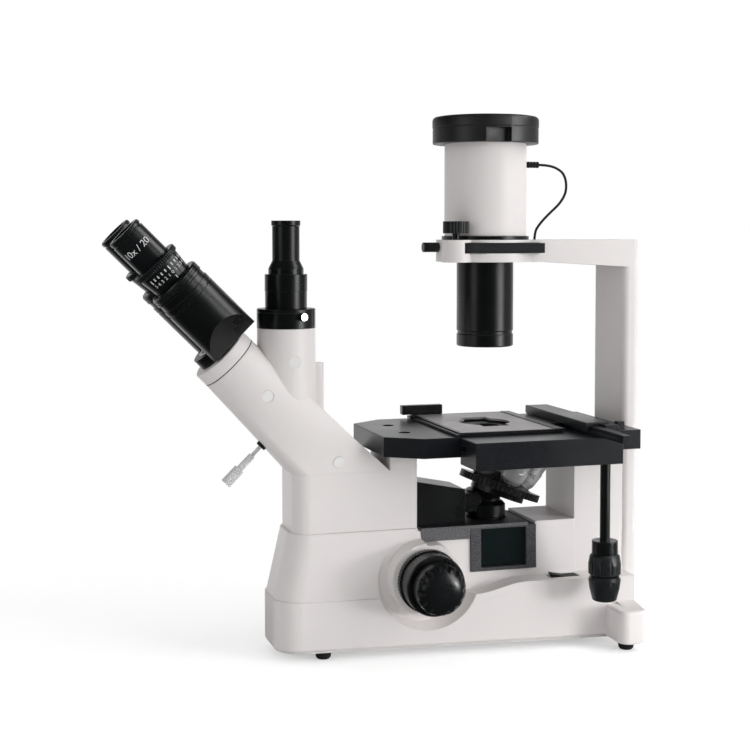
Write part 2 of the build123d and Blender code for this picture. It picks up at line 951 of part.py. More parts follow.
# Camera tube in its clamp ring
ring_radius = 26.6
ring_top = 316.2
tube_fit = 17.0
camera_shoulder = 19.0
camera_collar = 19.3
camera_step = 16.0
camera_neck = 12.4
camera_flange = 13.2
camera_bore = 9.0
camera_heights = (331.7, 347.1, 352.3, 359.5, 390.4, 395.5)
screw_angle = 18.0
clamp_z = 309.5
clamp_shank = 2.0
clamp_head = 3.6
clamp_head_long = 4.6
clamp_flutes = 14
clamp_flute = 0.8
clamp_flute_deep = 0.3
clamp_split = 2.0
clamp_axis = Plane(
    origin=port.from_local_coords((0, 0, clamp_z)),
    x_dir=(0, 0, 1),
    z_dir=(math.cos(math.radians(screw_angle)), math.sin(math.radians(screw_angle)), 0),
)

with BuildPart() as clamp_ring:
    add(drum(port, ring_radius, port_top, ring_top, tube_fit + fit_gap))
    rims = clamp_ring.edges().filter_by(GeomType.CIRCLE).group_by(Axis.Z)[-1]
    fillet(rims.sort_by(SortBy.RADIUS)[-1], overrun)
    # Groove round the top
    groove_low = ring_top - clamp_head
    add(
        drum(port, ring_radius + overrun, groove_low, groove_low + overrun / 2, ring_radius - overrun / 2),
        mode=Mode.SUBTRACT,
    )
    add(drum(clamp_axis, clamp_shank + fit_gap, 0, 2 * ring_radius), mode=Mode.SUBTRACT)
    # Split for clamping, to the rear of the screw
    with BuildSketch(level(port_top + clamp_split)):
        with Locations((0, port_y)):
            with PolarLocations(ring_radius, 1, screw_angle * 3):
                Rectangle(2 * casting_wall, clamp_split)
    extrude(amount=ring_top - port_top, mode=Mode.SUBTRACT)

clamp_ring.part.label = "clamp_ring"
export_step(clamp_ring.part, "parts/clamp_ring.step")

with BuildPart() as clamp_screw:
    add(drum(clamp_axis, clamp_shank, tube_fit + body_gap, ring_radius + body_gap))
    head_low = ring_radius + body_gap
    head_high = head_low + clamp_head_long
    add(fluted(clamp_axis, clamp_head, head_low, head_high, clamp_flutes, clamp_flute, clamp_flute_deep))
    with BuildSketch(clamp_axis.offset(ring_radius + clamp_head_long)):
        Rectangle(2 * clamp_head, overrun)
    extrude(amount=overrun, mode=Mode.SUBTRACT)

clamp_screw.part.label = "clamp_screw"
export_step(clamp_screw.part, "parts/clamp_screw.step")

with BuildPart() as photo_tube:
    add(
        spun(
            port,
            [
                (camera_bore, port_top),
                (tube_fit, port_top),
                (tube_fit, ring_top),
                (camera_shoulder, ring_top),
                (camera_shoulder, camera_heights[0]),
                (camera_collar, camera_heights[0]),
                (camera_collar, camera_heights[1]),
                (camera_step, camera_heights[1]),
                (camera_step, camera_heights[2]),
                (camera_neck, camera_heights[3]),
                (camera_neck, camera_heights[4]),
                (camera_flange, camera_heights[4] + overrun),
                (camera_flange, camera_heights[5]),
                (camera_flange - overrun, camera_heights[5]),
                (camera_flange - 2 * overrun, camera_heights[5] - overrun),
                (camera_bore, camera_heights[5] - overrun),
            ],
        )
    )

photo_tube.part.label = "photo_tube"
export_step(photo_tube.part, "parts/photo_tube.step")

# Hinge hub: the white ring on the casting and the pivot that both eye tubes turn on
hub_ring = 12.4
hub_seam = 0.8
pivot_radius = 14.0
pivot_bore = 11.0
lug_thick = 5.0
lug_radius_out = 20.6
lug_first = hub_ring + body_gap
lug_second = lug_first + lug_thick + body_gap
pivot_end = lug_second + lug_thick + body_gap

with BuildPart() as hinge_hub:
    add(
        spun(
            hub,
            [
                (pivot_bore, 0),
                (tube_radius - hub_seam, 0),
                (tube_radius - hub_seam, hub_seam),
                (tube_radius, hub_seam),
                (tube_radius, hub_ring - hub_seam),
                (tube_radius - hub_seam, hub_ring),
                (pivot_radius, hub_ring),
                (pivot_radius, pivot_end),
                (pivot_bore, pivot_end),
            ],
        )
    )

hinge_hub.part.label = "hinge_hub"
export_step(hinge_hub.part, "parts/hinge_hub.step")

# The two eye tubes: each a lug on the pivot that grows into a housing with an oblique end
eye_rise = math.sqrt(eye_swing**2 - eye_half**2)
housing_radius = 24.9
housing_low = 15.5
housing_high = 84.5
housing_bore = 15.2
housing_floor = 40.0
band_deep = 0.9
band_places = (70.5, 77.0)
band_wide = 1.6
cut_angle = 48.0
cut_offset = 1.5
dioptre_low = housing_high + body_gap
dioptre_scale = 101.2
dioptre_high = 108.2
dioptre_radius = 18.5
dioptre_grip = 20.6
dioptre_step = 95.0
dioptre_flutes = 30
dioptre_flute_deep = 0.5
sleeve_radius = 14.9
sleeve_low = 62.0
barrel_out = 16.3
barrel_low_t = 101.5
eye_top = 151.5
eye_cup = 146.0
eye_lens_radius = 11.0
eye_lens_deep = 7.0
field_bore = 11.5


def eye_plane(hand):
    """The plane across an eyepiece axis, level with the hinge seam."""
    return moved_plane(hub, hand * eye_half, eye_rise)


def tube_housing(hand, lug_low, other_low):
    """One housing: lug, barrel, oblique cut on the outer side, and room for the other lug."""
    eye = eye_plane(hand)
    with BuildPart() as housing:
        add(
            spun(
                eye,
                [
                    (0, housing_low),
                    (housing_radius, housing_low),
                    (housing_radius, band_places[0]),
                    (housing_radius - band_deep, band_places[0]),
                    (housing_radius - band_deep, band_places[0] + band_wide),
                    (housing_radius, band_places[0] + band_wide),
                    (housing_radius, band_places[1]),
                    (housing_radius - band_deep, band_places[1]),
                    (housing_radius - band_deep, band_places[1] + band_wide),
                    (housing_radius - band_deep, housing_high - band_wide),
                    (housing_radius - 2 * band_deep, housing_high),
                    (0, housing_high),
                ],
            )
        )
        # Outer side cut away towards the hinge
        cut_reach = housing_radius + overrun - cut_offset
        cut_section = Plane(origin=eye.origin, x_dir=eye.x_dir, z_dir=-eye.y_dir)
        with BuildSketch(cut_section):
            with BuildLine():
                Polyline(
                    (hand * cut_offset, housing_low - overrun),
                    (hand * (cut_offset + cut_reach), housing_low - overrun),
                    (
                        hand * (cut_offset + cut_reach),
                        housing_low + cut_reach * math.tan(math.radians(cut_angle)),
                    ),
                    (hand * cut_offset, housing_low),
                    close=True,
                )
            make_face()
        extrude(amount=housing_radius + overrun, both=True, mode=Mode.SUBTRACT)
        # Room for the other tube's lug as the two fold
        add(
            drum(hub, lug_radius_out + 2 * body_gap, other_low - body_gap, other_low + lug_thick + body_gap),
            mode=Mode.SUBTRACT,
        )
        # Lug on the pivot
        add(drum(hub, lug_radius_out, lug_low, lug_low + lug_thick))
        add(drum(hub, pivot_radius + fit_gap, 0, housing_floor), mode=Mode.SUBTRACT)
        # Bore for the eyepiece, and the light's way between the two axes
        add(drum(eye, housing_bore, housing_floor, housing_high + overrun), mode=Mode.SUBTRACT)
    return housing.part


right_tube_housing = tube_housing(1, lug_first, lug_second)
right_tube_housing.label = "right_tube_housing"
export_step(right_tube_housing, "parts/right_tube_housing.step")

left_tube_housing = tube_housing(-1, lug_second, lug_first)
left_tube_housing.label = "left_tube_housing"
export_step(left_tube_housing, "parts/left_tube_housing.step")


def dioptre_ring(hand):
    """A scale ring with a milled grip, turning on the eyepiece sleeve."""
    eye = eye_plane(hand)
    with BuildPart() as ring:
        add(
            spun(
                eye,
                [
                    (housing_bore, dioptre_low),
                    (dioptre_radius - overrun, dioptre_low),
                    (dioptre_radius, dioptre_low + overrun),
                    (dioptre_radius, dioptre_scale),
                    (barrel_out + body_gap, dioptre_scale),
                    (barrel_out + body_gap, dioptre_step),
                    (housing_bore, dioptre_step),
                ],
            )
        )
        add(fluted(eye, dioptre_grip, dioptre_scale, dioptre_high, dioptre_flutes, overrun, dioptre_flute_deep))
        add(drum(eye, barrel_out + body_gap, dioptre_scale, dioptre_high), mode=Mode.SUBTRACT)
    return ring.part


right_dioptre_ring = dioptre_ring(1)
right_dioptre_ring.label = "right_dioptre_ring"
export_step(right_dioptre_ring, "parts/right_dioptre_ring.step")

left_dioptre_ring = dioptre_ring(-1)
left_dioptre_ring.label = "left_dioptre_ring"
export_step(left_dioptre_ring, "parts/left_dioptre_ring.step")


def eyepiece(hand):
    """A wide-field eyepiece with its sleeve, eye lens and folded cup."""
    return spun(
        eye_plane(hand),
        [
            (field_bore, sleeve_low),
            (sleeve_radius, sleeve_low),
            (sleeve_radius, barrel_low_t),
            (barrel_out, barrel_low_t),
            (barrel_out, eye_cup),
            (barrel_out - overrun, eye_cup),
            (barrel_out - overrun, eye_cup + overrun),
            (barrel_out, eye_cup + 2 * overrun),
            (barrel_out, eye_top - overrun),
            (barrel_out - overrun, eye_top),
            (eye_lens_radius + overrun, eye_top),
            (eye_lens_radius, eye_top - eye_lens_deep),
            (0, eye_top - eye_lens_deep + 2 * overrun),
            (0, eye_top - 2 * eye_lens_deep),
            (field_bore, eye_top - 2 * eye_lens_deep),
        ],
    )


right_eyepiece = eyepiece(1)
right_eyepiece.label = "right_eyepiece"
export_step(right_eyepiece, "parts/right_eyepiece.step")

left_eyepiece = eyepiece(-1)
left_eyepiece.label = "left_eyepiece"
export_step(left_eyepiece, "parts/left_eyepiece.step")

# Beam splitter: a prism on a pull rod
rod = Plane(origin=split.origin, x_dir=split.x_dir, z_dir=-split.y_dir)
rod_thin_end = 45.5
rod_sleeve_end = 62.0
rod_end = 80.0
rod_sleeve = 3.1
rod_grip = 4.9
rod_flutes = 20
rod_flute = 0.8
rod_flute_deep = 0.35

with BuildPart() as beam_rod:
    add(
        spun(
            rod,
            [
                (0, prism_half),
                (rod_radius, prism_half),
                (rod_radius, rod_thin_end),
                (rod_sleeve, rod_thin_end),
                (rod_sleeve, rod_sleeve_end),
                (0, rod_sleeve_end),
            ],
        )
    )
    add(fluted(rod, rod_grip, rod_sleeve_end, rod_end, rod_flutes, rod_flute, rod_flute_deep))

beam_rod.part.label = "beam_rod"
export_step(beam_rod.part, "parts/beam_rod.step")

with BuildPart() as beam_prism:
    with BuildSketch(rod.offset(-prism_half)):
        Rectangle(2 * prism_half, 2 * prism_half)
    extrude(amount=2 * prism_half)
    chamfer(beam_prism.edges(), overrun / 2)

beam_prism.part.label = "beam_prism"
export_step(beam_prism.part, "parts/beam_prism.step")

# Focus knobs: a coarse pair on a tubular spindle and a fine pair on a rod through it
spindle_bore = fine_shaft_radius + fit_gap
knob_back = 54.0
rim_wide = 6.0
rim_radius = 28.3
rim_flutes = 45
rim_flute = 0.9
rim_flute_deep = 0.45
knob_recess = 1.5
fine_back = coarse_face + 0.5
fine_dome = ((22.9, 89.4), (22.2, 93.6), (20.0, 97.1), (16.0, 99.8), (10.5, 101.3), (6.0, 101.9), (3.0, 102.0))
fine_rod_end = 92.0
dimple_count = 14
dimple_radius = 3.6
dimple_place = 22.0
dimple_height = 98.6
focus_teeth = 18
pinion_half = 6.0


def coarse_knob(hand, bore):
    """One coarse knob with its serrated rim."""
    plane = focus_plane(hand)
    with BuildPart() as knob:
        add(fluted(plane, rim_radius, knob_back, knob_back + rim_wide, rim_flutes, rim_flute, rim_flute_deep))
        add(
            spun(
                plane,
                [
                    (0, knob_back),
                    (coarse_radius, knob_back),
                    (coarse_radius, coarse_face - overrun),
                    (coarse_radius - overrun, coarse_face),
                    (fine_radius + overrun, coarse_face),
                    (fine_radius, coarse_face - knob_recess),
                    (0, coarse_face - knob_recess),
                ],
            )
        )
        add(drum(plane, bore, knob_back - overrun, coarse_face + overrun), mode=Mode.SUBTRACT)
    return knob.part


with BuildPart() as right_coarse_knob:
    add(coarse_knob(1, focus_shaft_radius + fit_gap))

right_coarse_knob.part.label = "right_coarse_knob"
export_step(right_coarse_knob.part, "parts/right_coarse_knob.step")

with BuildPart() as left_coarse_knob:
    add(coarse_knob(-1, focus_shaft_radius))
    add(drum(focus_plane(1), focus_shaft_radius, knob_recess - coarse_face, coarse_face - knob_recess))
    add(pinion(focus_plane(1), focus_pitch_radius, focus_teeth, -pinion_half, pinion_half))
    add(drum(focus_plane(1), spindle_bore, -coarse_face - overrun, coarse_face + overrun), mode=Mode.SUBTRACT)

left_coarse_knob.part.label = "left_coarse_knob"
export_step(left_coarse_knob.part, "parts/left_coarse_knob.step")


def fine_knob(hand):
    """One fine knob, domed, with finger dimples round its rim."""
    plane = focus_plane(hand)
    with BuildPart() as knob:
        with BuildSketch(Plane(origin=plane.origin, x_dir=plane.x_dir, z_dir=-plane.y_dir)):
            with BuildLine():
                Polyline(
                    fine_dome[-1],
                    (0, fine_dome[-1][1]),
                    (0, fine_back),
                    (fine_radius, fine_back),
                    fine_dome[0],
                )
                Spline(*fine_dome, tangents=[(0, 1), (-1, 0)])
            make_face()
        revolve(axis=Axis(plane.origin, plane.z_dir))
        with Locations(plane.offset(dimple_height)):
            with PolarLocations(dimple_place, dimple_count):
                Sphere(dimple_radius, mode=Mode.SUBTRACT)
    return knob.part


with BuildPart() as right_fine_knob:
    add(fine_knob(1))
    add(
        drum(focus_plane(1), fine_shaft_radius + fit_gap, fine_back - overrun, fine_rod_end),
        mode=Mode.SUBTRACT,
    )

right_fine_knob.part.label = "right_fine_knob"
export_step(right_fine_knob.part, "parts/right_fine_knob.step")

with BuildPart() as left_fine_knob:
    add(fine_knob(-1))
    add(drum(focus_plane(1), fine_shaft_radius, -fine_rod_end, fine_rod_end))

left_fine_knob.part.label = "left_fine_knob"
export_step(left_fine_knob.part, "parts/left_fine_knob.step")

# Focus carriage: a post with a rack, and an arm through the cover's slot
post_low = 46.0
post_high = 118.0
carriage_half = 14.0
block_front = -66.0
block_rear = -33.0
block_high = 140.0
arm_half = 11.0
arm_low = 122.2
fine_face_y = -24.0
focus_rack_teeth = 16
focus_pitch = 2 * math.pi * focus_pitch_radius / focus_teeth

with BuildPart() as focus_carriage:
    add(block((-post_half, post_front, post_low), (post_half, post_rear, post_high)))
    add(block((-carriage_half, block_front, post_high), (carriage_half, block_rear, block_high)))
    add(block((-arm_half, block_rear, arm_low), (arm_half, fine_face_y - slide_gap, block_high)))
    rack_line = Plane(
        origin=side(0).from_local_coords((focus_y + focus_pitch_radius, focus_z, 0)),
        x_dir=(0, 0, 1),
        z_dir=(1, 0, 0),
    )
    add(rack_teeth(rack_line, focus_pitch, focus_rack_teeth, 2 * post_half))

focus_carriage.part.label = "focus_carriage"
export_step(focus_carriage.part, "parts/focus_carriage.step")

# Nosepiece: a carrier tube under a tilted turret whose objectives share one apex
turret_tilt = 20.5
apex_z = 101.7
tilt = math.radians(turret_tilt)
turret = Plane(origin=(axis_x, axis_y, apex_z), x_dir=(1, 0, 0), z_dir=(0, math.sin(tilt), math.cos(tilt)))
carrier_low = 108.5
carrier_rings = (
    (16.5, 108.5),
    (16.5, 116.0),
    (18.2, 117.0),
    (18.2, 127.0),
    (16.0, 129.5),
    (13.5, 131.0),
    (13.5, 133.0),
)
carrier_cone = 19.0
carrier_cone_high = 141.0
carrier_bore = 9.6
carrier_disc = 26.0
carrier_disc_low = 35.5
turret_low = 41.0
turret_radius = 39.5
turret_rim = 6.7
turret_flutes = 60
turret_flute = 1.2
turret_flute_deep = 0.6
stations = 4
axle_radius = 3.5
axle_long = 5.0
bracket_half = 12.0
bracket_rear = -8.0
seat_high = 56.0
seat_bore = 9.5
seat_crown = 8.0
crown_drop = math.tan(tilt)

with BuildPart() as nosepiece_carrier:
    cone_top = [(carrier_cone, carrier_cone_high), (0, carrier_cone_high)]
    carrier_outline = [(0, carrier_low), *carrier_rings, *cone_top]
    add(spun(carrier_axis, carrier_outline))
    add(drum(turret, carrier_disc, carrier_disc_low, turret_low))
    add(block((-bracket_half, fine_face_y, arm_low), (bracket_half, bracket_rear, block_high)))
    add(drum(turret, 2 * turret_radius, turret_low, seat_high), mode=Mode.SUBTRACT)
    add(drum(level(0), carrier_bore, carrier_low - overrun, seat_high + apex_z), mode=Mode.SUBTRACT)
    add(drum(turret, axle_radius, turret_low - axle_long / 2, turret_low + axle_long))

nosepiece_carrier.part.label = "nosepiece_carrier"
export_step(nosepiece_carrier.part, "parts/nosepiece_carrier.step")


def objective_plane(station):
    """The plane across one objective's axis, through the shared apex; station 0 stands upright."""
    around = 2 * math.pi * station / stations
    outward = turret.y_dir * -math.cos(around) + turret.x_dir * math.sin(around)
    along = turret.z_dir * math.cos(tilt) + outward * math.sin(tilt)
    across_it = turret.y_dir * math.sin(around) + turret.x_dir * math.cos(around)
    return Plane(origin=turret.origin, x_dir=across_it, z_dir=along)


with BuildPart() as turret_disc:
    turret_base = turret_low + body_gap
    rim_high = turret_base + turret_rim
    crown = seat_high * math.cos(tilt) + (seat_high * math.sin(tilt) - seat_crown) * crown_drop
    shoulder = seat_crown + (crown - rim_high) / crown_drop
    add(fluted(turret, turret_radius, turret_base, rim_high, turret_flutes, turret_flute, turret_flute_deep))
    add(spun(turret, [(0, rim_high), (shoulder, rim_high), (seat_crown, crown), (0, crown)]))
    for station in range(stations):
        add(
            drum(objective_plane(station), seat_bore + fit_gap, turret_low - axle_long, seat_high + overrun),
            mode=Mode.SUBTRACT,
        )
    add(drum(turret, axle_radius + fit_gap, turret_low, turret_low + axle_long + body_gap), mode=Mode.SUBTRACT)

turret_disc.part.label = "turret"
export_step(turret_disc.part, "parts/turret.step")

# Objectives, as (radius, distance from the apex) outlines above the thread
thread_low = 51.5
lens_bore = 6.0
objective_outlines = {
    "objective_10x": (
        (9.8, 56),
        (12.0, 61),
        (12.0, 72),
        (11.3, 73),
        (11.3, 82),
        (8.5, 87),
        (8.5, 90),
        (6.0, 93.5),
    ),
    "objective_4x": (
        (9.8, 56),
        (12.0, 61),
        (12.0, 70),
        (11.3, 71),
        (11.3, 76),
        (10.4, 79),
        (9.4, 80),
    ),
    "objective_40x": (
        (9.8, 56),
        (12.0, 61),
        (12.0, 75),
        (11.3, 76),
        (11.3, 84),
        (7.0, 89),
        (7.0, 91),
        (4.6, 93.5),
    ),
    "objective_20x": (
        (9.8, 56),
        (12.0, 61),
        (12.0, 73),
        (11.3, 74),
        (11.3, 83),
        (8.0, 88),
        (8.0, 90),
        (5.5, 92.5),
    ),
}

for station, (name, outline) in enumerate(objective_outlines.items()):
    objective_axis = objective_plane(station)
    with BuildPart() as objective:
        add(
            spun(
                objective_axis,
                [
                    (lens_bore, thread_low),
                    (seat_bore, thread_low),
                    (seat_bore, seat_high),
                    *outline,
                    (0, outline[-1][1]),
                    (0, seat_high + overrun),
                    (lens_bore, seat_high + overrun),
                ],
            )
        )
    objective.part.label = name
    export_step(objective.part, "parts/" + name + ".step")

# Stage plate with its round opening, screw holes and the guide tongue for the side block
stage_half = 70.0
stage_front = -115.4
stage_rear = 128.5
stage_corner_x = 48.4
stage_corner_y = -84.5
stage_opening = 53.0
insert_radius = 55.0
insert_thick = 3.0
insert_hole = 14.0
insert_gap = 0.3
stage_screws = ((25.0, -88.0), (-25.0, -88.0), (22.0, 110.0), (-22.0, 110.0))
screw_head = 4.6
screw_sink = 5.6
screw_sink_deep = 6.0
screw_key = 2.5
tongue_x = 82.7
tongue_low = 190.0
tongue_high = 195.0
tongue_front = -45.0
tongue_rear = 108.0
along_teeth = 18
along_pitch = 2 * math.pi * along_pitch_radius / along_teeth
along_rack_teeth = 30
along_rack_shift = 5
stop_x = 59.0
stop_y = 112.0
stop_half = 3.5
stage_round = 0.6

with BuildPart() as stage_plate:
    with BuildSketch(level(stage_low)):
        with BuildLine():
            Polyline(
                (-stage_corner_x, stage_front),
                (stage_corner_x, stage_front),
                (stage_half, stage_corner_y),
                (stage_half, stage_rear),
                (-stage_half, stage_rear),
                (-stage_half, stage_corner_y),
                close=True,
            )
        make_face()
    extrude(amount=stage_thick)
    fillet(stage_plate.edges(), stage_round)
    add(drum(level(0), stage_opening, stage_low - overrun, stage_high + overrun), mode=Mode.SUBTRACT)
    add(
        drum(level(0), insert_radius + insert_gap, stage_high - insert_thick, stage_high + overrun),
        mode=Mode.SUBTRACT,
    )
    for x, y in stage_screws:
        add(
            drum(moved_plane(level(0), x, y), screw_sink, stage_high - screw_sink_deep, stage_high + overrun),
            mode=Mode.SUBTRACT,
        )
    add(block((stage_half - overrun, tongue_front, tongue_low), (tongue_x, tongue_rear, tongue_high)))
    tongue_line = Plane(
        origin=(axis_x + stem_x - along_pitch_radius, axis_y + stem_y - along_rack_shift * along_pitch, 0),
        x_dir=(0, -1, 0),
        z_dir=(0, 0, 1),
    )
    tongue_middle = tongue_line.offset((tongue_low + tongue_high) / 2)
    add(rack_teeth(tongue_middle, along_pitch, along_rack_teeth, tongue_high - tongue_low))
    add(
        block(
            (stop_x - stop_half, stop_y - stop_half, stage_high),
            (stop_x + stop_half, stop_y + stop_half, stage_high + 2 * stop_half),
        )
    )

stage_plate.part.label = "stage_plate"
export_step(stage_plate.part, "parts/stage_plate.step")

# Plugs in the head and socket screws in the stage
with BuildPart() as plugs_and_screws:
    for y, z, face in plug_places:
        for hand in (1, -1):
            plug = Plane(origin=side(0).from_local_coords((y, z, 0)), x_dir=(0, hand, 0), z_dir=(hand, 0, 0))
            add(drum(plug, plug_radius, face - plug_deep, face + plug_proud))
    for x, y in stage_screws:
        screw = moved_plane(level(0), x, y)
        add(drum(screw, screw_head, stage_high - screw_sink_deep, stage_high - overrun))
        with BuildSketch(screw.offset(stage_high - 2 * screw_key)):
            RegularPolygon(screw_key, 6)
        extrude(amount=2 * screw_key, mode=Mode.SUBTRACT)

plugs_and_screws.part.label = "plugs_and_screws"
export_step(plugs_and_screws.part, "parts/plugs_and_screws.step")

with BuildPart() as stage_insert:
    add(drum(level(0), insert_radius, stage_high - insert_thick, stage_high, insert_hole))

stage_insert.part.label = "stage_insert"
export_step(stage_insert.part, "parts/stage_insert.step")

# Side block of the mechanical stage, running on the tongue
block_inner = stage_half + 0.5
slot_x = stem_x - along_pitch_radius + tooth_high + body_gap
pinion_low = tongue_low
pinion_high = tongue_high
pinion_pocket = along_pitch_radius + tooth_high + body_gap
stem_tube = 3.2
stem_rod = 1.95
carriage_round = 0.8

with BuildPart() as y_carriage:
    add(block((block_inner, carriage_front, carriage_low), (carriage_near, carriage_rear, carriage_high)))
    fillet(y_carriage.edges(), carriage_round)
    add(
        block(
            (block_inner - overrun, carriage_front - overrun, tongue_low - slide_gap),
            (slot_x, carriage_rear + overrun, tongue_high + slide_gap),
        ),
        mode=Mode.SUBTRACT,
    )
    stem = moved_plane(level(0), stem_x, stem_y)
    add(drum(stem, pinion_pocket, pinion_low - slide_gap, pinion_high + slide_gap), mode=Mode.SUBTRACT)
    add(drum(stem, stem_tube + fit_gap, carriage_low - overrun, pinion_low), mode=Mode.SUBTRACT)
    add(drum(stem, stem_rod + fit_gap, pinion_high, carriage_high + overrun), mode=Mode.SUBTRACT)

y_carriage.part.label = "y_carriage"
export_step(y_carriage.part, "parts/y_carriage.step")

# Cross guide: a bar over the stage with a channel for the rail, and the pinion's housing
bar_far = -51.5
bar_near = 88.6
bar_front = 64.0
bar_rear = 87.5
bar_top = 213.0
rail_front = 68.6
rail_root = 75.5
rail_low = 202.4
rail_high = 209.6
rail_far = -60.0
rail_near = 152.5
rail_gap = 0.2
holder_low = 202.4
holder_high = 205.4
housing_near = 99.5
housing_rear = 90.6
housing_top = 211.5
housing_front = 78.0
cross_pocket = cross_pitch_radius + tooth_high + body_gap
cross_teeth = 16
cross_pitch = 2 * math.pi * cross_pitch_radius / cross_teeth
cross_rack_teeth = 36
groove_high = 1.0
groove_deep = 0.6

with BuildPart() as x_guide_bar:
    add(block((bar_far, bar_front, carriage_high), (bar_near, bar_rear, bar_top)))
    fillet(x_guide_bar.faces().sort_by(Axis.Z)[-1].edges(), carriage_round)
    add(block((bar_near - overrun, housing_front, carriage_high), (housing_near, housing_rear, housing_top)))
    rail_back = rail_root + tooth_deep + tooth_high + body_gap
    add(
        block(
            (bar_far - overrun, rail_front - rail_gap, carriage_high - overrun),
            (bar_near + overrun, rail_back, rail_high + rail_gap),
        ),
        mode=Mode.SUBTRACT,
    )
    add(
        block(
            (bar_far - overrun, bar_front - overrun, carriage_high - overrun),
            (bar_near + overrun, rail_front, holder_high + body_gap),
        ),
        mode=Mode.SUBTRACT,
    )
    add(drum(stem, cross_pocket, carriage_high - overrun, rail_high + rail_gap), mode=Mode.SUBTRACT)

x_guide_bar.part.label = "x_guide_bar"
export_step(x_guide_bar.part, "parts/x_guide_bar.step")

with BuildPart() as x_rack:
    add(block((rail_far, rail_front, rail_low), (rail_near, rail_root, rail_high)))
    rail_line = Plane(
        origin=(axis_x + stem_x, axis_y + rail_root + tooth_deep, (rail_low + rail_high) / 2),
        x_dir=(1, 0, 0),
        z_dir=(0, 0, 1),
    )
    add(rack_teeth(rail_line, cross_pitch, cross_rack_teeth, rail_high - rail_low))
    groove_z = (rail_low + rail_high) / 2
    add(
        block(
            (bar_near, rail_front - overrun, groove_z - groove_high / 2),
            (rail_near - 2 * casting_wall, rail_front + groove_deep, groove_z + groove_high / 2),
        ),
        mode=Mode.SUBTRACT,
    )

x_rack.part.label = "x_rack"
export_step(x_rack.part, "parts/x_rack.step")

# Specimen holder: a rim with a ledge for the plate, a flange under the bar and a clamp block
holder_half = 67.0
holder_front = -49.5
holder_rear = 44.5
holder_wall = 2.5
holder_ledge = 4.0
ledge_high = 203.4
flange_half = 30.0
front_rail_y = -53.0
front_rail_far = -62.0
front_rail_near = 70.0
front_rail_wide = 2.0
clamp_far = -74.0
clamp_near = -66.0
clamp_front = -60.4
clamp_rear = -18.6
clamp_top = 214.7
clamp_low = 205.6
clamp_round = 0.8
pin_x = -70.5
pin_y = -24.0
pin_radius = 1.1

with BuildPart() as specimen_holder:
    add(block((-holder_half, holder_front, holder_low), (holder_half, holder_rear, holder_high)))
    add(block((-flange_half, holder_rear, holder_low), (flange_half, rail_front, holder_high)))
    add(
        block(
            (front_rail_far, front_rail_y, holder_low),
            (front_rail_near, front_rail_y + front_rail_wide, ledge_high + overrun),
        )
    )
    for x in (front_rail_far, holder_half - holder_wall):
        add(block((x, front_rail_y, holder_low), (x + holder_wall, holder_front, ledge_high + overrun)))
    add(block((clamp_far, holder_front, holder_low), (-holder_half, clamp_rear, holder_high)))
    add(
        block(
            (holder_wall - holder_half, holder_front + holder_wall, ledge_high),
            (holder_half - holder_wall, holder_rear - holder_wall, holder_high + overrun),
        ),
        mode=Mode.SUBTRACT,
    )
    window_in = holder_wall + holder_ledge
    add(
        block(
            (window_in - holder_half, holder_front + window_in, holder_low - overrun),
            (holder_half - window_in, holder_rear - window_in, ledge_high + overrun),
        ),
        mode=Mode.SUBTRACT,
    )
    clamp_pin = moved_plane(level(0), pin_x, pin_y)
    add(drum(clamp_pin, pin_radius + fit_gap, ledge_high, holder_high + overrun), mode=Mode.SUBTRACT)

specimen_holder.part.label = "specimen_holder"
export_step(specimen_holder.part, "parts/specimen_holder.step")

plate_gap = 0.3
dish_hole = 24.0
slide_long = 64.0
slide_wide = 26.0

with BuildPart() as holder_plate:
    add(
        block(
            (holder_wall + plate_gap - holder_half, holder_front + holder_wall + plate_gap, ledge_high),
            (holder_half - holder_wall - plate_gap, holder_rear - holder_wall - plate_gap, holder_high),
        )
    )
    add(drum(level(0), dish_hole, ledge_high - overrun, holder_high + overrun), mode=Mode.SUBTRACT)
    add(
        block(
            (-slide_long / 2, -slide_wide / 2, ledge_high - overrun),
            (slide_long / 2, slide_wide / 2, holder_high + overrun),
        ),
        mode=Mode.SUBTRACT,
    )

holder_plate.part.label = "holder_plate"
export_step(holder_plate.part, "parts/holder_plate.step")

with BuildPart() as holder_clamp:
    add(block((clamp_far, clamp_front, clamp_low), (clamp_near, clamp_rear, clamp_top)))
    fillet(holder_clamp.edges(), clamp_round)
    add(drum(clamp_pin, pin_radius, ledge_high + body_gap, clamp_top - clamp_round))

holder_clamp.part.label = "holder_clamp"
export_step(holder_clamp.part, "parts/holder_clamp.step")

# Hanging stem of the mechanical stage with its two coaxial knobs
stem_radius = 4.64
stem_collar = 11.8
stem_collar_low = 93.3
stem_collar_high = 105.1
upper_knob = 14.8
upper_low = 72.6
lower_low = 50.0
knob_flutes = 10
knob_flute = 2.2
knob_flute_deep = 0.9
upper_outline = ((12.4, 72.6), (14.6, 75.0), (14.8, 84.0), (13.6, 91.0), (11.8, 93.0))
upper_flutes = (75.5, 88.5)
lower_outline = ((9.5, 50.0), (11.0, 50.8), (13.6, 61.0), (14.6, 69.5), (13.0, 72.3))
lower_flutes = (55.0, 69.0)

with BuildPart() as knob_stem:
    add(drum(stem, stem_radius, stem_collar_low, carriage_low))
    add(drum(stem, stem_collar, stem_collar_low, stem_collar_high))
    fillet(knob_stem.edges().filter_by(GeomType.CIRCLE).group_by(SortBy.RADIUS)[-1], overrun / 2)
    add(drum(stem, stem_tube + fit_gap, stem_collar_low - overrun, carriage_low + overrun), mode=Mode.SUBTRACT)

knob_stem.part.label = "knob_stem"
export_step(knob_stem.part, "parts/knob_stem.step")


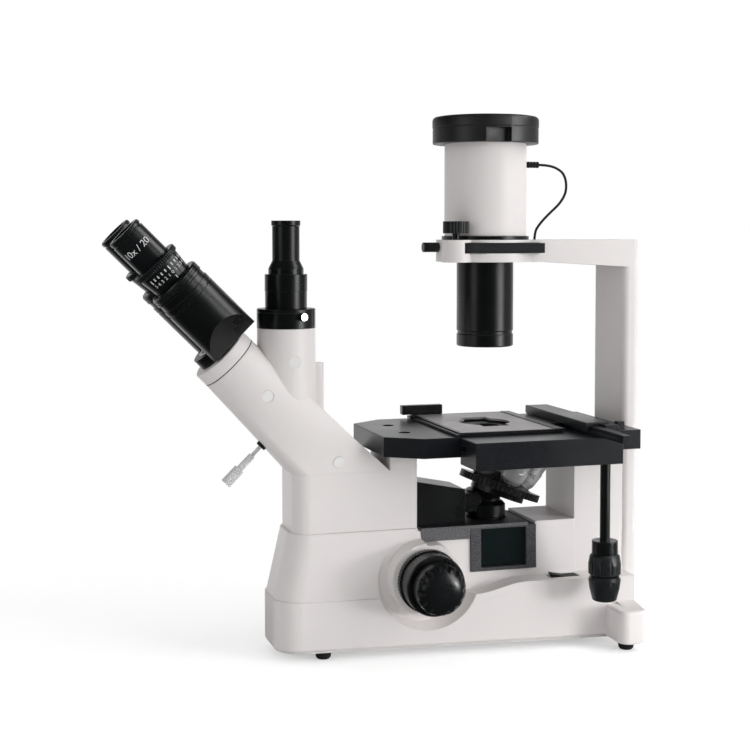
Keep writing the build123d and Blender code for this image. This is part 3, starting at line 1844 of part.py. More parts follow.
def stem_knob(outline, flutes, bore):
    """A barrel-shaped knob with upright finger flutes between two heights."""
    low, high = flutes
    with BuildPart() as knob:
        add(spun(stem, [(0, outline[0][1]), *outline, (0, outline[-1][1])]))
        with BuildSketch(stem.offset(low)):
            with PolarLocations(upper_knob + knob_flute - knob_flute_deep, knob_flutes):
                Circle(knob_flute)
        extrude(amount=high - low, mode=Mode.SUBTRACT)
        add(drum(stem, bore, lower_low - overrun, stem_collar_low + overrun), mode=Mode.SUBTRACT)
    return knob.part


with BuildPart() as y_knob:
    add(stem_knob(upper_outline, upper_flutes, stem_tube))
    add(drum(stem, stem_tube, upper_low, pinion_high))
    add(pinion(stem, along_pitch_radius, along_teeth, pinion_low, pinion_high))
    add(drum(stem, stem_rod + fit_gap, upper_low - overrun, pinion_high + overrun), mode=Mode.SUBTRACT)

y_knob.part.label = "y_knob"
export_step(y_knob.part, "parts/y_knob.step")

with BuildPart() as x_knob:
    add(stem_knob(lower_outline, lower_flutes, stem_rod))
    add(drum(stem, stem_rod, lower_low + overrun, rail_high - overrun))
    add(pinion(stem, cross_pitch_radius, cross_teeth, rail_low + overrun / 2, rail_high - overrun / 2))

x_knob.part.label = "x_knob"
export_step(x_knob.part, "parts/x_knob.step")

# Condenser under the bracket
barrel_groove_low = 289.0
barrel_groove_high = 293.0
barrel_groove = 0.8
barrel_lip = 19.5
barrel_bore = 19.0
lens_radius = 21.9
lens_seat = 22.0
lens_low = 280.0
lens_high = 288.0
lens_dome = 2.5

with BuildPart() as condenser_barrel:
    add(
        spun(
            level(0),
            [
                (barrel_lip, barrel_low),
                (barrel_radius - overrun, barrel_low),
                (barrel_radius, barrel_low + overrun),
                (barrel_radius, barrel_groove_low),
                (barrel_radius - barrel_groove, barrel_groove_low + barrel_groove),
                (barrel_radius - barrel_groove, barrel_groove_high - barrel_groove),
                (barrel_radius, barrel_groove_high),
                (barrel_radius, bracket_low),
                (neck_radius, bracket_low),
                (neck_radius, slot_low - body_gap),
                (barrel_bore, slot_low - body_gap),
                (barrel_bore, barrel_groove_high),
                (lens_seat, barrel_groove_high),
                (lens_seat, lens_low),
                (barrel_lip, lens_low),
            ],
        )
    )

condenser_barrel.part.label = "condenser_barrel"
export_step(condenser_barrel.part, "parts/condenser_barrel.step")

with BuildPart() as condenser_lens:
    add(
        spun(
            level(0),
            [
                (0, lens_low),
                (lens_radius, lens_low),
                (lens_radius, lens_high - lens_dome),
                (lens_radius / 2, lens_high + lens_dome / 2),
                (0, lens_high + lens_dome),
            ],
        )
    )

condenser_lens.part.label = "condenser_lens"
export_step(condenser_lens.part, "parts/condenser_lens.step")

screw_grip = 4.5
screw_tip = 62.0
screw_flutes = 14
screw_flute_deep = 0.4

with BuildPart() as condenser_clamp:
    add(drum(clamp_line, screw_shank, -slot_front + body_gap, bracket_radius + body_gap))
    grip_low = bracket_radius + body_gap
    add(fluted(clamp_line, screw_grip, grip_low, screw_tip, screw_flutes, overrun, screw_flute_deep))

condenser_clamp.part.label = "condenser_clamp"
export_step(condenser_clamp.part, "parts/condenser_clamp.step")

# Filter slide in the bracket's slot
slider_gap = 0.3
slider_far = -40.0
slider_near = 44.3
slider_hole = 20.0
slider_corner = 14.0

with BuildPart() as filter_slider:
    with BuildSketch(level(slot_low + slider_gap)):
        with BuildLine():
            Polyline(
                (slider_far, slot_front + slider_gap),
                (slider_near - slider_corner, slot_front + slider_gap),
                (slider_near, slot_front + slider_gap + slider_corner),
                (slider_near, slot_rear - slider_gap),
                (slider_far, slot_rear - slider_gap),
                close=True,
            )
        make_face()
        Circle(slider_hole, mode=Mode.SUBTRACT)
    extrude(amount=slot_high - slot_low - 2 * slider_gap)

filter_slider.part.label = "filter_slider"
export_step(filter_slider.part, "parts/filter_slider.step")

iris_radius = 12.0
iris_low = 384.0
iris_high = 395.0
iris_flutes = 28
iris_flute_deep = 0.45

with BuildPart() as iris_knob:
    add(drum(iris, iris_stem, bracket_low + casting_wall + body_gap, iris_low))
    add(fluted(iris, iris_radius, iris_low, iris_high, iris_flutes, overrun, iris_flute_deep))

iris_knob.part.label = "iris_knob"
export_step(iris_knob.part, "parts/iris_knob.step")

# Lamp: flange with the socket bridge, house, lift-off cap and bulb
flange_radius = 41.0
flange_high = 381.5
light_hole = 19.0
bridge_in = 24.0
bridge_out = 30.0
bridge_half = 4.0
bridge_low = 420.0
bridge_high = 426.0
house_wall = 2.5
house_high = 485.7
relief_z = 449.0
relief_radius = 3.0
relief_thin = 2.3
relief_in = 35.0
relief_out = 53.6
relief_rings = 4

with BuildPart() as lamp_flange:
    add(drum(level(0), flange_radius, arm_high, flange_high, light_hole))
    for x in (-1, 1):
        low, high = sorted((x * bridge_in, x * bridge_out))
        add(block((low, -bridge_half, flange_high), (high, bridge_half, bridge_high)))
    add(block((-bridge_out, -bridge_half, bridge_low), (bridge_out, bridge_half, bridge_high)))

lamp_flange.part.label = "lamp_flange"
export_step(lamp_flange.part, "parts/lamp_flange.step")

with BuildPart() as lamp_house:
    inner = lamp_radius - house_wall
    add(
        spun(
            level(0),
            [
                (inner, flange_high),
                (lamp_radius, flange_high),
                (lamp_radius, house_high),
                (0, house_high),
                (0, house_high - house_wall),
                (inner, house_high - house_wall),
            ],
        )
    )
    add(
        drum(moved_plane(across(0), 0, relief_z), relief_radius + fit_gap, -lamp_radius - overrun, -bridge_out),
        mode=Mode.SUBTRACT,
    )

lamp_house.part.label = "lamp_house"
export_step(lamp_house.part, "parts/lamp_house.step")

cap_bore = 38.9
cap_ceiling = 486.0
cap_round = 4.0
cap_groove_z = 481.7
recess_wide = 24.0
recess_deep = 6.0
recess_high = 480.3
recess_turn = -11.0

with BuildPart() as lamp_cap:
    add(drum(level(0), cap_radius, cap_low, cap_high))
    fillet(lamp_cap.edges().filter_by(GeomType.CIRCLE).group_by(Axis.Z)[-1], cap_round)
    add(drum(level(0), cap_bore, cap_low - overrun, cap_ceiling), mode=Mode.SUBTRACT)
    add(
        drum(level(0), cap_radius + overrun, cap_groove_z, cap_groove_z + overrun, cap_radius - overrun / 2),
        mode=Mode.SUBTRACT,
    )
    # Finger recesses on both sides
    with BuildSketch(level(cap_low)):
        with PolarLocations(cap_radius, 2, recess_turn):
            Rectangle(2 * recess_deep, recess_wide)
    extrude(amount=recess_high - cap_low, mode=Mode.SUBTRACT)

lamp_cap.part.label = "lamp_cap"
export_step(lamp_cap.part, "parts/lamp_cap.step")

bulb_radius = 6.0
bulb_stem = 4.5

with BuildPart() as lamp_bulb:
    add(
        spun(
            level(0),
            [
                (0, bridge_low),
                (bulb_stem, bridge_low),
                (bulb_stem, bridge_low - 2 * bulb_radius),
                (bulb_radius, bridge_low - 2 * bulb_radius - overrun),
                (bulb_radius, bridge_low - 4 * bulb_radius),
                (bulb_radius / 2, bridge_low - 5 * bulb_radius),
                (0, bridge_low - 5 * bulb_radius),
            ],
        )
    )

lamp_bulb.part.label = "lamp_bulb"
export_step(lamp_bulb.part, "parts/lamp_bulb.step")

with BuildPart() as strain_relief:
    relief = Plane(origin=across(0).from_local_coords((0, relief_z, 0)), x_dir=(1, 0, 0), z_dir=(0, 1, 0))
    add(drum(relief, relief_radius, relief_in, relief_out))
    ring_step = (relief_out - lamp_radius) / (relief_rings + 1)
    for number in range(1, relief_rings + 1):
        low = lamp_radius + number * ring_step
        add(drum(relief, relief_radius + overrun, low, low + ring_step / 2, relief_thin), mode=Mode.SUBTRACT)

strain_relief.part.label = "strain_relief"
export_step(strain_relief.part, "parts/strain_relief.step")

# Lamp lead: straight runs joined by tangent arcs, as (Y, Z) places in the mid plane
lead_radius = 1.2
lead_share = 0.45
lead_route = [
    (53.6, 449.0),
    (66.0, 449.0),
    (78.1, 443.6),
    (82.2, 436.8),
    (83.3, 429.1),
    (82.2, 421.4),
    (76.3, 412.1),
    (64.7, 402.1),
    (55.5, 392.8),
    (50.3, 384.8),
    (50.3, 374.0),
]
lead_points = [(axis_x, axis_y + y, z) for y, z in lead_route]
lead_radii = []
for before, here, after in zip(lead_points, lead_points[1:], lead_points[2:]):
    first = Vector(*here) - Vector(*before)
    second = Vector(*after) - Vector(*here)
    half_turn = math.radians(first.get_angle(second)) / 2
    lead_radii.append(lead_share * min(first.length, second.length) / math.tan(half_turn))
print("lamp lead radii", [round(radius, 1) for radius in lead_radii])

with BuildPart() as lamp_lead:
    with BuildLine() as lead_line:
        FilletPolyline(*lead_points, radius=lead_radii)
    with BuildSketch(Plane(origin=lead_points[0], z_dir=lead_line.line % 0)):
        Circle(lead_radius)
    sweep()

lamp_lead.part.label = "lamp_lead"
export_step(lamp_lead.part, "parts/lamp_lead.step")
print("lamp lead length", round(lead_line.wires()[0].length, 1))
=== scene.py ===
import math

import bmesh
import bpy
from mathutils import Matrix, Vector


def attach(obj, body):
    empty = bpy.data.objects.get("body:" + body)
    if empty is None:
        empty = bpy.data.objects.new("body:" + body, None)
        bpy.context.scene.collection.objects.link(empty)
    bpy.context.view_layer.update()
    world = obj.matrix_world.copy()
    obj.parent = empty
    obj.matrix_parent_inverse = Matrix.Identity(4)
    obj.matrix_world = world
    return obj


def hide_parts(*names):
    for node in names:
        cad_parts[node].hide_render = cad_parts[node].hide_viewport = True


# An inverted microscope. Places are in millimetres from the optical axis, as in the CAD source,
# and place() turns them into metres in the row's frame.

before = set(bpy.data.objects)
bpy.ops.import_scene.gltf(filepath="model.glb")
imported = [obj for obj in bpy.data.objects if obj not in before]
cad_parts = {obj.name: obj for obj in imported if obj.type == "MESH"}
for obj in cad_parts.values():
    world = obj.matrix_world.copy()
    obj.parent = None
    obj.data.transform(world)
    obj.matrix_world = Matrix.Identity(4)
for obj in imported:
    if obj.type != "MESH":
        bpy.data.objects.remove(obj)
bpy.context.view_layer.update()
scene = bpy.context.scene

axis_x = -24.8
axis_y = 104.7
millimetre = 0.001


def place(x, y, z):
    """A point given in millimetres from the optical axis, in metres in the row's frame."""
    return Vector(((axis_x + x) * millimetre, (axis_y + y) * millimetre, z * millimetre))


# Camera: at the operator's right, a little in front, looking slightly down
camera_spot = (1262.0, -494.5, 385.2)
camera_heading = 73.0
camera_pitch = 3.0
photo_width = 750.0
focal_pixels = 1430.0
sensor_wide = 36.0
axis_row = 307.0
nearest = 0.01
farthest = 50.0

camera_data = bpy.data.cameras.new("camera")
camera_data.sensor_width = sensor_wide
camera_data.lens = focal_pixels / photo_width * sensor_wide
camera_data.shift_y = (axis_row - photo_width / 2) / photo_width
camera_data.clip_start = nearest
camera_data.clip_end = farthest
camera = bpy.data.objects.new("camera", camera_data)
camera.location = place(*camera_spot)
camera.rotation_euler = (math.radians(90.0 - camera_pitch), 0.0, math.radians(camera_heading))
scene.collection.objects.link(camera)
scene.camera = camera

# Lamp lead: the same route points as the CAD solid, as control points of one smooth curve
lead_diameter = 2.4
lead_route = [
    (53.6, 449.0),
    (66.0, 449.0),
    (78.1, 443.6),
    (82.2, 436.8),
    (83.3, 429.1),
    (82.2, 421.4),
    (76.3, 412.1),
    (64.7, 402.1),
    (55.5, 392.8),
    (50.3, 384.8),
    (50.3, 374.0),
]
lead_curve = bpy.data.curves.new("lamp_lead_line", "CURVE")
lead_curve.dimensions = "3D"
lead_spline = lead_curve.splines.new("NURBS")
lead_spline.points.add(len(lead_route) - 1)
for point, (y, z) in zip(lead_spline.points, lead_route):
    point.co = (*place(0.0, y, z), 1.0)
    point.radius = lead_diameter / 2 * millimetre
lead_spline.order_u = 3
lead_spline.use_endpoint_u = True
lead_curve.bevel_depth = 1.0
lead_curve.bevel_resolution = 6
lead_curve.resolution_u = 16
lead = bpy.data.objects.new("lead_cord", lead_curve)
scene.collection.objects.link(lead)
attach(lead, "stand")
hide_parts("lamp_lead")


# Materials
# Where the edge tone takes over as the rounded normal turns from the face: the edge tone is partly wear and
# partly a painted highlight
edge_wear_and_highlight_from = 0.86
edge_wear_and_highlight_to = 0.99
# Faces looking up can take a painted shade, a darker tone than their sides, between these parts of the
# normal's upward share
shaded_top_from = 0.6
shaded_top_to = 0.9
bevel_samples = 4


def noise(tree, coords, scale, detail=3.0, rough=0.5):
    """A noise texture at a scale in waves per metre."""
    node = tree.nodes.new("ShaderNodeTexNoise")
    node.inputs["Scale"].default_value = scale
    node.inputs["Detail"].default_value = detail
    node.inputs["Roughness"].default_value = rough
    tree.links.new(coords, node.inputs["Vector"])
    return node.outputs["Fac"]


def spread(tree, value, low, high, start=0.3, end=0.7):
    """Maps start..end of a value to low..high."""
    node = tree.nodes.new("ShaderNodeMapRange")
    node.inputs["From Min"].default_value = start
    node.inputs["From Max"].default_value = end
    node.inputs["To Min"].default_value = low
    node.inputs["To Max"].default_value = high
    tree.links.new(value, node.inputs["Value"])
    return node.outputs["Result"]


def blend(tree, factor, first, second):
    """A colour between two colours, each a value or an output."""
    node = tree.nodes.new("ShaderNodeMix")
    node.data_type = "RGBA"
    for socket, colour in (("A", first), ("B", second)):
        if isinstance(colour, tuple):
            node.inputs[socket].default_value = (*colour, 1.0)
        else:
            tree.links.new(colour, node.inputs[socket])
    tree.links.new(factor, node.inputs["Factor"])
    return node.outputs["Result"]


def bump(tree, height, depth, strength, below):
    """A bump of a given depth in millimetres over another normal."""
    node = tree.nodes.new("ShaderNodeBump")
    node.inputs["Strength"].default_value = strength
    node.inputs["Distance"].default_value = depth * millimetre
    tree.links.new(height, node.inputs["Height"])
    tree.links.new(below, node.inputs["Normal"])
    return node.outputs["Normal"]


def edge_mask(tree, rounded):
    """How far the rounded normal has turned from the face's own: 1 on an edge, 0 on a face."""
    agree = tree.nodes.new("ShaderNodeVectorMath")
    agree.operation = "DOT_PRODUCT"
    tree.links.new(rounded, agree.inputs[0])
    tree.links.new(tree.nodes.new("ShaderNodeNewGeometry").outputs["Normal"], agree.inputs[1])
    return spread(tree, agree.outputs["Value"], 1.0, 0.0, edge_wear_and_highlight_from, edge_wear_and_highlight_to)


def surface(
    name,
    tone,
    other_tone,
    rough,
    cloud=25.0,
    grain=1200.0,
    grain_depth=0.03,
    grain_strength=0.25,
    edge=0.5,
    edge_tone=None,
    shaded_top_tone=None,
    metal=0.0,
    specular=0.5,
    transmission=0.0,
    ior=1.5,
):
    """A finish: two tones in soft clouds, uneven gloss, fine grain in the relief, rounded edges in an edge
    tone that is partly wear and partly a painted highlight, and a painted shade on faces looking up where a
    top tone is given.
    """
    material = bpy.data.materials.new(name)
    material.use_nodes = True
    tree = material.node_tree
    shader = tree.nodes["Principled BSDF"]
    coords = tree.nodes.new("ShaderNodeTexCoord").outputs["Object"]
    clouds = noise(tree, coords, cloud)
    grains = noise(tree, coords, grain, detail=2.0)
    colour = blend(tree, spread(tree, clouds, 0.0, 1.0), tone, other_tone)
    bevel = tree.nodes.new("ShaderNodeBevel")
    bevel.samples = bevel_samples
    bevel.inputs["Radius"].default_value = edge * millimetre
    rounded = bevel.outputs["Normal"]
    # Painted shade: faces that look up blend to the darker top tone
    if shaded_top_tone is not None:
        upright = tree.nodes.new("ShaderNodeSeparateXYZ")
        normal = tree.nodes.new("ShaderNodeNewGeometry").outputs["Normal"]
        tree.links.new(normal, upright.inputs["Vector"])
        facing_up = spread(tree, upright.outputs["Z"], 0.0, 1.0, shaded_top_from, shaded_top_to)
        colour = blend(tree, facing_up, colour, shaded_top_tone)
    # Rounded edges blend to the edge tone: partly wear, partly a painted highlight, lighter than the face on
    # most finishes
    if edge_tone is not None:
        colour = blend(tree, edge_mask(tree, rounded), colour, edge_tone)
    tree.links.new(colour, shader.inputs["Base Color"])
    tree.links.new(spread(tree, clouds, rough[0], rough[1]), shader.inputs["Roughness"])
    tree.links.new(bump(tree, grains, grain_depth, grain_strength, rounded), shader.inputs["Normal"])
    shader.inputs["Metallic"].default_value = metal
    shader.inputs["Specular IOR Level"].default_value = specular
    shader.inputs["Transmission Weight"].default_value = transmission
    shader.inputs["IOR"].default_value = ior
    return material


# Edge tones lighter than their finish are partly wear and partly painted highlights on the rounded edges; the
# light plate's is darker
white_paint = surface(
    "white_paint", (0.79, 0.755, 0.745), (0.765, 0.73, 0.72), (0.34, 0.46), cloud=9.0, grain=1400.0,
    grain_depth=0.015, grain_strength=0.15, edge=0.8, edge_tone=(0.86, 0.84, 0.83), specular=0.4,
)
black_paint = surface(
    "black_paint", (0.0022, 0.003, 0.0032), (0.0038, 0.0046, 0.005), (0.26, 0.34), cloud=30.0, grain=2600.0,
    grain_depth=0.02, grain_strength=0.25, edge=0.45, edge_tone=(0.05, 0.05, 0.055), specular=0.55,
)
stage_paint = surface(
    "stage_paint", (0.0075, 0.0088, 0.0115), (0.011, 0.0125, 0.016), (0.26, 0.34), cloud=14.0, grain=3200.0,
    grain_depth=0.03, grain_strength=0.35, edge=0.5, edge_tone=(0.09, 0.09, 0.095), specular=0.45,
)
# The deck cover's top is painted darker than its sides: a painted shade standing in for the stage's shadow
# over it
skirt_grey = surface(
    "skirt_grey", (0.07, 0.07, 0.074), (0.16, 0.159, 0.165), (0.45, 0.65), cloud=650.0, grain=800.0,
    grain_depth=0.16, grain_strength=0.9, edge=0.3, edge_tone=(0.3, 0.3, 0.3), shaded_top_tone=(0.016, 0.018, 0.02),
    specular=0.4,
)
frame_grey = surface(
    "frame_grey", (0.035, 0.036, 0.04), (0.1, 0.099, 0.105), (0.45, 0.65), cloud=650.0, grain=800.0,
    grain_depth=0.16, grain_strength=0.9, edge=0.3, edge_tone=(0.2, 0.2, 0.2), specular=0.4,
)
black_plastic = surface(
    "black_plastic", (0.0032, 0.004, 0.0045), (0.006, 0.0072, 0.0082), (0.24, 0.34), cloud=40.0, grain=3000.0,
    grain_depth=0.02, grain_strength=0.25, edge=0.35, edge_tone=(0.06, 0.062, 0.066), specular=0.55,
)
knob_plastic = surface(
    "knob_plastic", (0.009, 0.011, 0.0125), (0.014, 0.016, 0.018), (0.34, 0.44), cloud=40.0, grain=3000.0,
    grain_depth=0.02, grain_strength=0.25, edge=0.35, edge_tone=(0.07, 0.072, 0.076), specular=0.5,
)
cap_plastic = surface(
    "cap_plastic", (0.004, 0.005, 0.0055), (0.007, 0.0082, 0.009), (0.4, 0.5), cloud=40.0, grain=2400.0,
    grain_depth=0.03, grain_strength=0.3, edge=0.5, edge_tone=(0.07, 0.072, 0.078), specular=1.0,
)
dark_pane = surface(
    "dark_pane", (0.006, 0.0105, 0.011), (0.009, 0.0145, 0.015), (0.12, 0.2), cloud=20.0, grain=300.0,
    grain_depth=0.01, grain_strength=0.05, specular=0.3,
)
light_plate = surface(
    "light_plate", (0.4, 0.38, 0.385), (0.52, 0.49, 0.495), (0.32, 0.48), cloud=60.0, grain=4000.0,
    grain_depth=0.02, grain_strength=0.3, edge_tone=(0.03, 0.03, 0.03), edge=0.4, metal=0.5,
)
chrome = surface(
    "chrome", (0.72, 0.72, 0.73), (0.64, 0.64, 0.65), (0.1, 0.2), cloud=80.0, grain=2500.0,
    grain_depth=0.01, grain_strength=0.1, edge=0.25, metal=1.0,
)
satin_chrome = surface(
    "satin_chrome", (0.84, 0.84, 0.84), (0.76, 0.76, 0.77), (0.22, 0.34), cloud=90.0, grain=3000.0,
    grain_depth=0.015, grain_strength=0.2, edge=0.25, metal=0.2,
)
objective_metal = surface(
    "objective_metal", (0.66, 0.66, 0.67), (0.58, 0.58, 0.59), (0.24, 0.36), cloud=90.0, grain=3000.0,
    grain_depth=0.015, grain_strength=0.2, edge=0.3, metal=0.5,
)
clear_glass = surface(
    "clear_glass", (0.93, 0.96, 0.97), (0.9, 0.94, 0.95), (0.02, 0.05), grain_strength=0.02, edge=0.2,
    transmission=0.9,
)
mirror_glass = surface(
    "mirror_glass", (0.8, 0.82, 0.84), (0.76, 0.78, 0.8), (0.02, 0.06), metal=1.0, grain_strength=0.02,
)
rubber = surface(
    "rubber", (0.009, 0.009, 0.009), (0.016, 0.016, 0.016), (0.55, 0.7), cloud=60.0, grain=1500.0,
    grain_depth=0.05, grain_strength=0.4, edge=0.4, edge_tone=(0.04, 0.04, 0.04), specular=0.3,
)
print_white = surface(
    "print_white", (0.74, 0.74, 0.74), (0.62, 0.62, 0.62), (0.5, 0.6), cloud=1500.0, edge=0.05, specular=0.3,
)

# White plugs in the head, dark screws in the stage: one node, two finishes, split across Y in metres
split_front = 0.009
split_rear = 0.011
plug_mottle = 60.0
plug_rough = (0.3, 0.42)
plug_tones = ((0.84, 0.83, 0.82), (0.8, 0.79, 0.78))
screw_tones = ((0.02, 0.02, 0.022), (0.03, 0.03, 0.032))
plug_mix = bpy.data.materials.new("plug_and_screw")
plug_mix.use_nodes = True
tree = plug_mix.node_tree
shader = tree.nodes["Principled BSDF"]
coords = tree.nodes.new("ShaderNodeTexCoord").outputs["Object"]
parts = tree.nodes.new("ShaderNodeSeparateXYZ")
tree.links.new(coords, parts.inputs["Vector"])
rear = spread(tree, parts.outputs["Y"], 0.0, 1.0, split_front, split_rear)
mottle = spread(tree, noise(tree, coords, plug_mottle), 0.0, 1.0)
plug = blend(tree, mottle, *plug_tones)
screw = blend(tree, mottle, *screw_tones)
tree.links.new(blend(tree, rear, plug, screw), shader.inputs["Base Color"])
tree.links.new(spread(tree, mottle, *plug_rough, 0.0, 1.0), shader.inputs["Roughness"])

finishes = {
    white_paint: ("base_plate", "base_casting", "arm_casting", "head_casting", "hinge_hub", "lamp_house"),
    black_paint: (
        "carriage_cover", "clamp_ring", "photo_tube", "right_tube_housing", "left_tube_housing",
        "focus_carriage", "nosepiece_carrier", "turret", "knob_stem", "condenser_barrel", "lamp_flange",
        "lamp_cap",
    ),
    stage_paint: (
        "stage_plate", "stage_insert", "y_carriage", "x_guide_bar", "x_rack", "specimen_holder",
        "filter_slider",
    ),
    skirt_grey: ("deck_cover",),
    frame_grey: ("window_frame",),
    black_plastic: (
        "power_supply", "power_inlet", "brightness_dial", "right_dioptre_ring", "left_dioptre_ring",
        "right_eyepiece", "left_eyepiece", "right_coarse_knob", "left_coarse_knob", "right_fine_knob",
        "left_fine_knob", "holder_clamp", "condenser_clamp", "iris_knob",
    ),
    knob_plastic: ("y_knob", "x_knob"),
    dark_pane: ("window_pane",),
    light_plate: ("holder_plate",),
    chrome: ("clamp_screw",),
    satin_chrome: ("beam_rod",),
    plug_mix: ("plugs_and_screws",),
    objective_metal: ("objective_10x", "objective_4x", "objective_40x", "objective_20x"),
    clear_glass: ("beam_prism", "condenser_lens", "lamp_bulb"),
    mirror_glass: ("lower_mirror",),
    rubber: ("rubber_feet", "strain_relief", "rocker_switch"),
}
for finish, names in finishes.items():
    for name in names:
        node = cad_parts[name]
        node.data.materials.clear()
        node.data.materials.append(finish)
lead.data.materials.append(rubber)


# Small pieces in mesh code, each on its own body
crease_angle = 30.0
curve_step = 4.0
glyph_depth = 0.5


def piece(name, shape, body, finish, smooth=False):
    """A mesh piece from points in metres in the row's frame and faces, riding on a body."""
    verts, faces = shape
    mesh = bpy.data.meshes.new(name)
    mesh.from_pydata([tuple(point) for point in verts], [], faces)
    form = bmesh.new()
    form.from_mesh(mesh)
    bmesh.ops.recalc_face_normals(form, faces=form.faces)
    form.to_mesh(mesh)
    form.free()
    mesh.materials.append(finish)
    if smooth:
        mesh.shade_smooth()
        mesh.set_sharp_from_angle(angle=math.radians(crease_angle))
    made = bpy.data.objects.new(name, mesh)
    scene.collection.objects.link(made)
    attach(made, body)
    return made


class Axis:
    """A round piece's axis: a place in millimetres, a direction, and where its angle 0 points."""

    def __init__(self, spot, along, start):
        self.spot = Vector(spot)
        self.along = Vector(along).normalized()
        self.first = Vector(start).normalized()
        self.second = self.along.cross(self.first)

    def point(self, radius, angle, height):
        """A point at a radius, an angle in degrees and a height, in metres in the row's frame."""
        turn = math.radians(angle)
        outward = self.first * math.cos(turn) + self.second * math.sin(turn)
        return place(*(self.spot + outward * radius + self.along * height))


def wrapped_boxes(axis, radius, proud, boxes):
    """Thin raised marks on a cylinder, each given as angles and heights from and to."""
    verts = []
    faces = []
    for angle_low, angle_high, low, high in boxes:
        steps = max(1, round((angle_high - angle_low) / curve_step))
        first = len(verts)
        for step in range(steps + 1):
            angle = angle_low + (angle_high - angle_low) * step / steps
            for out in (radius - proud, radius + proud):
                verts.append(axis.point(out, angle, low))
                verts.append(axis.point(out, angle, high))
        for step in range(steps):
            a = first + 4 * step
            b = a + 4
            faces += [(a + 2, b + 2, b + 3, a + 3), (a, a + 1, b + 1, b)]
            faces += [(a, b, b + 2, a + 2), (a + 1, a + 3, b + 3, b + 1)]
        last = first + 4 * steps
        faces += [(first, first + 2, first + 3, first + 1), (last, last + 1, last + 3, last + 2)]
    return verts, faces


def turned(axis, outline, turns, inset=None, closed=True):
    """A round piece from (radius, height, kind) points, each drawn in by inset(kind, height, index, turn).

    A closed outline runs all the way round its section. An open one ends in two flat caps.
    """
    verts = []
    for radius, height, kind in outline:
        for index, turn in enumerate(turns):
            drawn = inset(kind, height, index, turn) if inset else 0.0
            verts.append(axis.point(radius - drawn, turn, height))
    count = len(turns)
    rows = len(outline)
    faces = []
    for row in range(rows if closed else rows - 1):
        for side in range(count):
            after = (side + 1) % count
            low = row * count
            high = (row + 1) % rows * count
            faces.append((low + side, low + after, high + after, high + side))
    if not closed:
        faces.append(tuple(range(count)))
        faces.append(tuple(range((rows - 1) * count, rows * count)))
    return verts, faces


def all_round(count):
    """Evenly spaced turns in degrees."""
    return [360.0 / count * step for step in range(count)]


def section(points, kind="plain"):
    """Outline points of one kind from (radius, height) pairs."""
    return [(radius, height, kind) for radius, height in points]


def box_section(inner, outer, low, high, kind="plain"):
    """A ring's square section, its outer side of the given kind."""
    return [(inner, low, "plain"), (outer, low, kind), (outer, high, kind), (inner, high, "plain")]


def glyph_mesh(text, size):
    """A text's raised outline as points in millimetres and faces, centred on the origin."""
    curve = bpy.data.curves.new("glyphs", "FONT")
    curve.body = text
    curve.size = size
    curve.align_x = "CENTER"
    curve.align_y = "CENTER"
    curve.extrude = glyph_depth
    holder = bpy.data.objects.new("glyphs", curve)
    mesh = bpy.data.meshes.new_from_object(holder)
    verts = [vert.co.copy() for vert in mesh.vertices]
    faces = [tuple(face.vertices) for face in mesh.polygons]
    bpy.data.meshes.remove(mesh)
    bpy.data.objects.remove(holder)
    bpy.data.curves.remove(curve)
    return verts, faces


def wrapped_texts(axis, radius, proud, texts, size):
    """Texts wrapped round a cylinder: each a text, an angle and a height, reading round the axis."""
    verts = []
    faces = []
    for text, angle, height in texts:
        points, polygons = glyph_mesh(text, size)
        first = len(verts)
        for point in points:
            turn = angle + math.degrees(point.x / radius)
            out = radius + (proud if point.z > 0 else -proud)
            verts.append(axis.point(out, turn, height + point.y))
        faces += [tuple(first + index for index in polygon) for polygon in polygons]
    return verts, faces


# The head, as in the CAD source: the hinge hub's place, the eye tubes' swing and the photo port
slant = math.sqrt(0.5)
hub_y = -246.0
hub_z = 268.3
hinge_arm = 35.0
half_spacing = 32.0
port_y = -193.0
eye_rise = math.sqrt(hinge_arm**2 - half_spacing**2)
eye_along = (0.0, -slant, slant)
across = (1.0, 0.0, 0.0)
sides = {"right": 1, "left": -1}
ring_turns = all_round(240)


def eye_axis(hand):
    """The axis of one eyepiece, from the hinge seam up."""
    return Axis((hand * half_spacing, hub_y + eye_rise * slant, hub_z + eye_rise * slant), eye_along, across)


# Eyepieces: a collar on each housing, a dioptre ring that flares to its milled grip, scale and marking
collar_inner = 19.2
collar_outline = section((
    (collar_inner, 83.6), (24.9, 83.6), (24.9, 86.0), (24.1, 86.3), (24.1, 87.0), (24.9, 87.3), (24.9, 88.4),
    (24.3, 88.6), (24.3, 89.2), (24.9, 89.4), (24.9, 90.4), (23.9, 91.8), (collar_inner, 91.8),
))
ring_inner = 17.0
flare_low = (18.4, 92.0)
flare_high = (20.4, 109.0)
ring_foot = ((ring_inner, 84.9), (18.3, 84.9), flare_low, flare_high, (20.4, 109.7))
ring_grip = ((21.7, 109.9), (22.3, 110.5), (22.3, 114.4))
ring_top = ((21.7, 115.1), (ring_inner, 115.1))
ring_outline = section(ring_foot) + section(ring_grip, "milled") + section(ring_top)
mill_depth = 0.55

scale_marks = 11
scale_middle = scale_marks // 2
scale_step = 12.0
scale_start = {1: -48.0, -1: 108.0}
tick_half = 1.5
tick_top = 106.6
tick_foot = 103.8
long_tick_foot = 102.6
tick_height = 104.6
tick_proud = 0.3
number_height = 99.6
number_size = 4.4
number_proud = 0.25
index_box = (10.0, 13.0, 93.0, 96.2)
index_height = 94.6
index_proud = 0.2
barrel_radius = 16.3
marking = "10x / 20"
marking_turn = {1: -14.0, -1: 194.0}
marking_height = 134.0
marking_size = 8.6
marking_proud = 0.07


def milled(kind, height, index, turn):
    """Draws in every other pair of points where an outline is milled."""
    return mill_depth if kind == "milled" and index % 4 > 1 else 0.0


